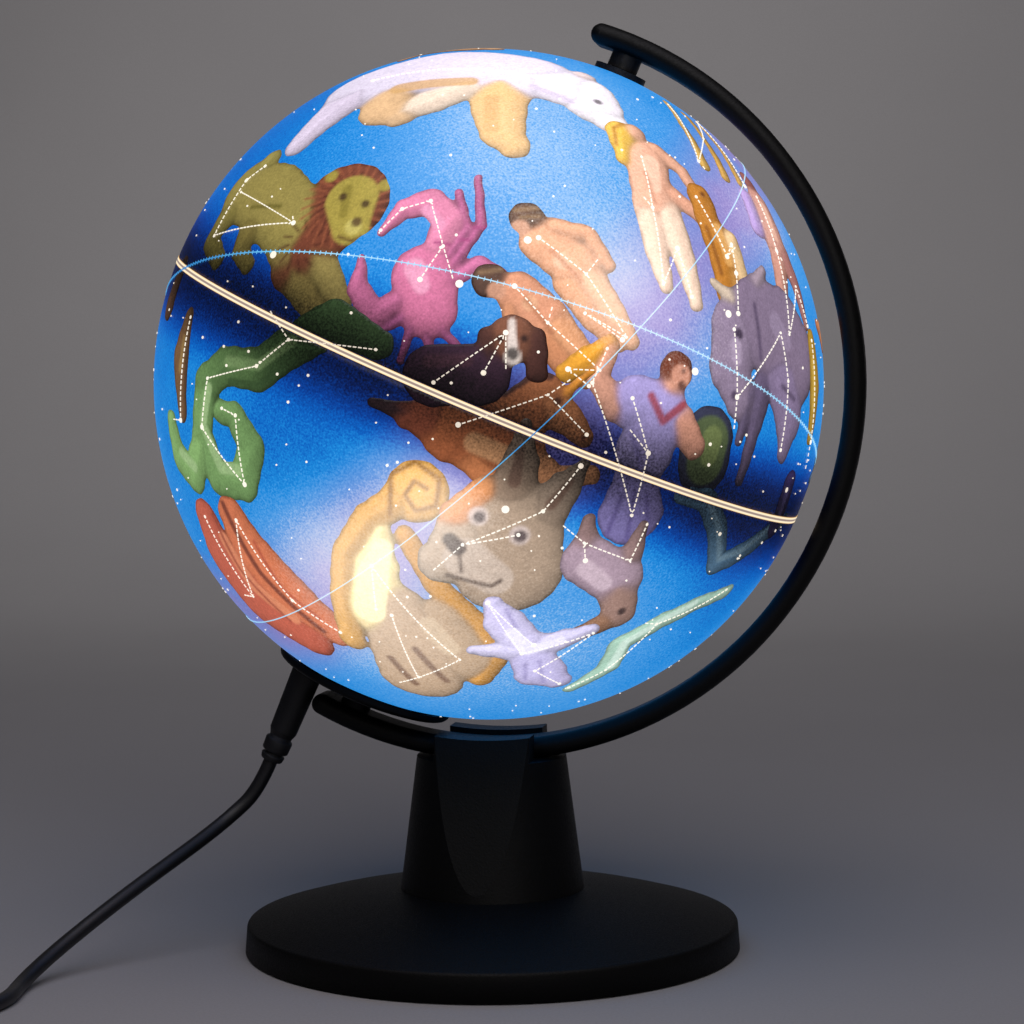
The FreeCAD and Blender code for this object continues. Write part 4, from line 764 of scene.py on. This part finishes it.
# the figure's corners (right, up), faces and colours
def paint(settings, seed):
    cell = prints["cell"]
    joints = np.array([joint for _, limb in settings["limbs"] for joint in limb])
    low = (joints[:, :2] - joints[:, 2:]).min(axis=0) - 3 * cell
    high = (joints[:, :2] + joints[:, 2:]).max(axis=0) + 3 * cell
    across, up = (int((high[axis] - low[axis]) / cell) + 1 for axis in (0, 1))
    xs, ys = low[0] + np.arange(across) * cell, low[1] + np.arange(up) * cell
    grid = np.stack(np.meshgrid(xs, ys), axis=-1)
    # hand-drawn wobble of the outline
    wobble = prints["wobble"] * np.sin(grid[..., 0] * 1.3 + seed) * np.sin(grid[..., 1] * 1.1 + seed * 2)
    reaches = np.stack([limbDistance(grid, limb) for _, limb in settings["limbs"]])
    join = prints["join"]
    field = -join * np.log(np.exp(np.clip(-reaches / join, -60, 60)).sum(axis=0)) + wobble
    spots = onBall(grid.reshape(-1, 2), settings["place"], 0.0) - np.array(ball["centre"])
    seamHeight = np.abs(spots @ np.array(northward)).reshape(field.shape) * 1000
    field = np.maximum(field, prints["seamGap"] - seamHeight)
    weights = np.exp(np.clip(-reaches / prints["toneJoin"], -60, 60))
    weights /= weights.sum(axis=0)
    tones = np.array([tone(code)[:3] for code, _ in settings["limbs"]])
    colour = np.tensordot(weights, tones, axes=(0, 0))
    slopeY, slopeX = np.gradient(field, cell)
    # rounded towards the middle and lit from the upper left, then a dark drawn edge and folds where limbs meet
    deep = np.minimum(field, 0)
    rim = np.exp(deep / prints["round"])
    relief = 1.16 + rim * (0.34 * slopeY - 0.26 * slopeX - 0.36)
    line = np.clip((field + prints["edge"]) / prints["edge"], 0, 1)
    shade = relief * (1 - 0.55 * line)
    if len(reaches) > 1:
        nearest, second = np.sort(reaches, axis=0)[:2]
        shade *= 1 - 0.16 * np.exp(-((nearest - second) / 0.7) ** 2) * (nearest < -0.3)
    colour = colour * shade[..., None]
    marks = [(code, mark, 0.7) for code, mark in settings.get("marks", [])]
    for x, y, reach, count, code in settings.get("tufts", []):
        for number in range(count):
            lean = 2 * math.pi * number / count
            ends = [(x + size * math.cos(lean + turn), y + size * math.sin(lean + turn), 0.25)
                    for size, turn in ((reach * 0.62, 0.0), (reach * 1.02, 0.16))]
            marks.insert(0, (code, ends, 0.6))
    for code, mark, soft in marks:
        cover = np.clip(0.5 - limbDistance(grid, mark) / soft, 0, 1)[..., None]
        cover *= prints["cover"]
        colour = colour * (1 - cover) + np.array(tone(code)[:3]) * cover
    kept = (field[:-1, :-1] + field[1:, :-1] + field[:-1, 1:] + field[1:, 1:]) < 0
    used = np.zeros(field.shape, int)
    for rows, cols in ((slice(0, -1), slice(0, -1)), (slice(1, None), slice(0, -1)),
                       (slice(0, -1), slice(1, None)), (slice(1, None), slice(1, None))):
        used[rows, cols] += kept
    border = (used > 0) & (used < 4)
    steep = np.maximum(slopeX ** 2 + slopeY ** 2, 0.2)
    for axis, slope in ((0, slopeX), (1, slopeY)):
        grid[..., axis] -= np.where(border, np.clip(field * slope / steep, -0.75 * cell, 0.75 * cell), 0)
    number = -np.ones(field.shape, int)
    number[used > 0] = np.arange((used > 0).sum())
    rows, cols = np.nonzero(kept)
    faces = np.stack([number[rows, cols], number[rows, cols + 1],
                      number[rows + 1, cols + 1], number[rows + 1, cols]], axis=-1)
    return grid[used > 0], faces, colour[used > 0]


# lays (right, up) millimetres on the ball about a place, as unit directions times a radius
def onBall(flat, place, height):
    out = np.array(direction(*place))
    up = np.array((0, 0, 1.0)) - out[2] * out
    up /= np.linalg.norm(up)
    right = np.cross(up, out)
    away = np.hypot(flat[:, 0], flat[:, 1])
    angle = away / (ball["radius"] * 1000)
    safe = np.maximum(away, 1e-9)
    heading = (flat[:, :1] * right + flat[:, 1:] * up) / safe[:, None]
    rays = np.cos(angle)[:, None] * out + np.sin(angle)[:, None] * heading
    return rays * (ball["radius"] + height) + np.array(ball["centre"])


def layPrints(name, chosen):
    corners, faces, colours, count = [], [], [], 0
    for key, settings in chosen:
        layer = names.index(key)
        flat, quads, tint = paint(settings, layer)
        lift = prints["lift"] + prints["step"] * layer
        corners += [onBall(flat, settings["place"], lift), onBall(flat, settings["place"], -prints["sink"])]
        size = len(flat)
        edges = {}
        for quad in quads:
            for first, second in zip(quad, np.roll(quad, -1)):
                edges[(int(first), int(second))] = edges.get((int(first), int(second)), 0) + 1
        faces += [tuple(int(corner) + count for corner in quad) for quad in quads]
        faces += [tuple(int(corner) + count + size for corner in quad[::-1]) for quad in quads]
        faces += [(first + count, first + count + size, second + count + size, second + count)
                  for first, second in edges if (second, first) not in edges]
        colours += [tint, tint]
        count += 2 * size
    corners, colours = np.concatenate(corners), np.concatenate(colours)
    mesh = bpy.data.meshes.new(name)
    mesh.from_pydata(corners.tolist(), [], faces)
    mesh.materials.append(figureInk)
    shown = mesh.color_attributes.new("ink", "FLOAT_COLOR", "POINT")
    shown.data.foreach_set("color", np.concatenate([colours, np.ones((len(colours), 1))], axis=1).ravel())
    mesh.polygons.foreach_set("use_smooth", [True] * len(mesh.polygons))
    mesh.update()
    piece = bpy.data.objects.new(name, mesh)
    scene.collection.objects.link(piece)
    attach(piece, "globe")
    print(name, len(mesh.polygons), "faces")


names = list(figures)
# each piece's first figure, in the order printed
firsts = {"figures_front_north": "snow_bear", "figures_front_middle": "hunter", "figures_front_south": "goblet",
          "figures_back": "swan"}
starts = [names.index(key) for key in firsts.values()] + [len(names)]
for groupName, low, high in zip(firsts, starts, starts[1:]):
    layPrints(groupName, [(key, figures[key]) for key in names[low:high]])
print("figures printed")


# stars and star lines, repeated with geometry nodes
# an empty tree with named inputs
def starTree(asset):
    tree = bpy.data.node_groups.new(asset["name"], "GeometryNodeTree")
    for name, kind, default in asset["sockets"]:
        socket = tree.interface.new_socket(name, in_out="INPUT", socket_type=kind)
        if default is not None:
            socket.default_value = default
    tree.interface.new_socket("Geometry", in_out="OUTPUT", socket_type="NodeSocketGeometry")
    return tree, add(tree, "NodeGroupInput"), add(tree, "NodeGroupOutput")


# the turn that lays an instance flat on the ball
def flatOnBall(tree):
    place = add(tree, "GeometryNodeInputPosition").outputs[0]
    out = fromCentre(tree, place)
    return add(tree, "FunctionNodeAlignRotationToVector", {"Vector": out}, axis="Z").outputs[0]


# instances on points, made real and given the tree's material
def placed(tree, start, end, inputs):
    put = add(tree, "GeometryNodeInstanceOnPoints", inputs).outputs[0]
    real = add(tree, "GeometryNodeRealizeInstances", {0: put}).outputs[0]
    coloured = add(tree, "GeometryNodeSetMaterial", {"Geometry": real, "Material": start.outputs["Material"]})
    tree.links.new(coloured.outputs[0], end.inputs[0])


def applied(piece, tree, values):
    modifier = piece.modifiers.new("nodes", "NODES")
    modifier.node_group = tree
    for item in tree.interface.items_tree:
        if item.in_out == "INPUT" and item.name in values:
            modifier[item.identifier] = values[item.name]
    bpy.context.view_layer.update()
    shown = piece.evaluated_get(bpy.context.evaluated_depsgraph_get())
    mesh = bpy.data.meshes.new_from_object(shown)
    result = bpy.data.objects.new(piece.name + "_print", mesh)
    scene.collection.objects.link(result)
    bpy.data.objects.remove(piece)
    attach(result, "globe")
    print(result.name, len(mesh.polygons), "faces")
    return result


def whiteColour(tree, level):
    return ramp(tree, level, [(0.0, tone("cfc3b4")), (0.35, tone("f2ead9")), (0.8, tone("fffaf0"))])


def cyanColour(tree, level):
    return ramp(tree, level, [(0.0, tone("2f7fc0")), (0.35, tone("6cc0ea")), (0.8, tone("d8f0fa"))])


# clear windows in the print, where the lamp shows through nearly white
starInk = glowing("star_window", whiteColour, 0.4, 1.1)
cyanInk = glowing("cyan_line", cyanColour, 0.6)
for ink in (starInk, cyanInk):
    ink.cycles.emission_sampling = "NONE"

# radii in millimetres, height in metres above the ball, and how near the seam a star may lie
starPrint = {"seed": 23, "scattered": 560, "small": (0.16, 0.18, 0.2, 0.24, 0.32),
             "figure": (0.3, 0.34, 0.38, 0.45, 0.6), "bright": 0.85, "height": 0.00016, "clear": 0.02,
             "northEnd": 0.97, "southEnd": -0.955,
             "brightPlaces": ((17, 22.5), (6, 15.5), (-28, 21), (13, -19), (44, 2), (52, 11))}
dice = random.Random(starPrint["seed"])
starSpots, starSizes, chains = [], [], []
for step in range(starPrint["scattered"]):
    height = dice.uniform(-1, 1)
    spin = dice.uniform(0, 2 * math.pi)
    flat = math.sqrt(1 - height * height)
    ray = Vector((flat * math.cos(spin), flat * math.sin(spin), height))
    tall = ray.dot(northward)
    if abs(tall) < starPrint["clear"] or tall > starPrint["northEnd"] or tall < starPrint["southEnd"]:
        continue
    starSpots.append(ray)
    starSizes.append(dice.choice(starPrint["small"]))
# one bent line of stars through each figure, with a side branch
for key in names[:names.index("brown_bear")]:
    settings = figures[key]
    joints = [(x + dice.uniform(-1.6, 1.6), y + dice.uniform(-1.6, 1.6))
              for _, limb in settings["limbs"][:3] for x, y, _ in limb]
    rays = (onBall(np.array(joints[::2] + joints[-1:]), settings["place"], 0.0) - np.array(ball["centre"]))
    chain = [Vector(ray).normalized() for ray in rays]
    chain = [ray for ray in chain if abs(ray.dot(northward)) > starPrint["clear"]]
    if len(chain) > 2:
        branch = chain[1] + 0.09 * Vector((dice.uniform(-1, 1), 0, dice.uniform(-1, 1)))
        chains += [chain, [chain[1], branch.normalized()]]
    for ray in chain:
        starSpots.append(ray)
        starSizes.append(dice.choice(starPrint["figure"]))
for azimuth, height in starPrint["brightPlaces"]:
    starSpots.append(direction(azimuth, height))
    starSizes.append(starPrint["bright"])
starMesh = bpy.data.meshes.new("stars")
starMesh.from_pydata([
    tuple(ball["centre"] + ray * (ball["radius"] + starPrint["height"])) for ray in starSpots], [], [])
reach = starMesh.attributes.new("reach", "FLOAT", "POINT")
reach.data.foreach_set("value", [size / 1000 for size in starSizes])
stars = bpy.data.objects.new("stars", starMesh)
scene.collection.objects.link(stars)
tree, start, end = starTree({"name": "star_dots", "sockets": [
    ("Geometry", "NodeSocketGeometry", None), ("Thickness", "NodeSocketFloat", 0.0001),
    ("Material", "NodeSocketMaterial", None)]})
disc = add(tree, "GeometryNodeMeshCylinder", {
    "Vertices": 12, "Radius": 1.0, "Depth": 1.0}, fill_type="NGON").outputs["Mesh"]
reachField = add(tree, "GeometryNodeInputNamedAttribute", {"Name": "reach"}, data_type="FLOAT").outputs[0]
scaled = add(tree, "ShaderNodeCombineXYZ", {
    0: reachField, 1: reachField, 2: start.outputs["Thickness"]}).outputs[0]
placed(tree, start, end, {
    "Points": start.outputs["Geometry"], "Instance": disc, "Rotation": flatOnBall(tree), "Scale": scaled})
applied(stars, tree, {"Thickness": 0.00016, "Material": starInk})


# poly splines that follow great circles between the given rays
def arcCurve(name, lines, height):
    curve = bpy.data.curves.new(name, "CURVE")
    curve.dimensions = "3D"
    for rays, closed in lines:
        spots = []
        for first, second in zip(rays, rays[1:] + (rays[:1] if closed else [])):
            steps = max(2, int(first.angle(second) / 0.02))
            for step in range(steps):
                spots.append(first.slerp(second, step / steps) if first.angle(second) > 1e-4 else first.copy())
        if not closed:
            spots.append(rays[-1])
        line = curve.splines.new("POLY")
        line.points.add(len(spots) - 1)
        for point, ray in zip(line.points, spots):
            point.co = (*(ball["centre"] + ray.normalized() * (ball["radius"] + height)), 1)
        line.use_cyclic_u = closed
    piece = bpy.data.objects.new(name, curve)
    scene.collection.objects.link(piece)
    return piece


tree, start, end = starTree({"name": "dashes", "sockets": [
    ("Geometry", "NodeSocketGeometry", None), ("Spacing", "NodeSocketFloat", 0.0016),
    ("Size", "NodeSocketVector", None), ("Material", "NodeSocketMaterial", None)]})
spread = add(tree, "GeometryNodeCurveToPoints", {
    "Curve": start.outputs["Geometry"], "Length": start.outputs["Spacing"]}, mode="LENGTH")
turned = add(tree, "FunctionNodeAlignRotationToVector", {
    "Rotation": flatOnBall(tree), "Vector": spread.outputs["Tangent"]}, axis="X", pivot_axis="Z").outputs[0]
bar = add(tree, "GeometryNodeMeshCube", {"Size": start.outputs["Size"]}).outputs["Mesh"]
placed(tree, start, end, {"Points": spread.outputs["Points"], "Instance": bar, "Rotation": turned})
applied(arcCurve("star_lines", [(chain, False) for chain in chains], 0.00016), tree,
        {"Spacing": 0.0012, "Size": (0.0008, 0.00026, 0.00014), "Material": starInk})


def circleRays(pole):
    count = 72
    normal = Vector(pole).normalized()
    first = normal.orthogonal().normalized()
    second = normal.cross(first)
    return [first * math.cos(2 * math.pi * step / count) + second * math.sin(2 * math.pi * step / count)
            for step in range(count)]


sunPath, starCloud = circleRays(poles["sunPath"]), circleRays(poles["starCloud"])
applied(arcCurve("great_circles", [(sunPath, True), (starCloud, True)], 0.00014), tree,
        {"Spacing": 0.0007, "Size": (0.00072, 0.00022, 0.00014), "Material": cyanInk})
applied(arcCurve("day_ticks", [(sunPath, True)], 0.00014), tree,
        {"Spacing": 0.0014, "Size": (0.00014, 0.0009, 0.00014), "Material": cyanInk})
print("stars printed")
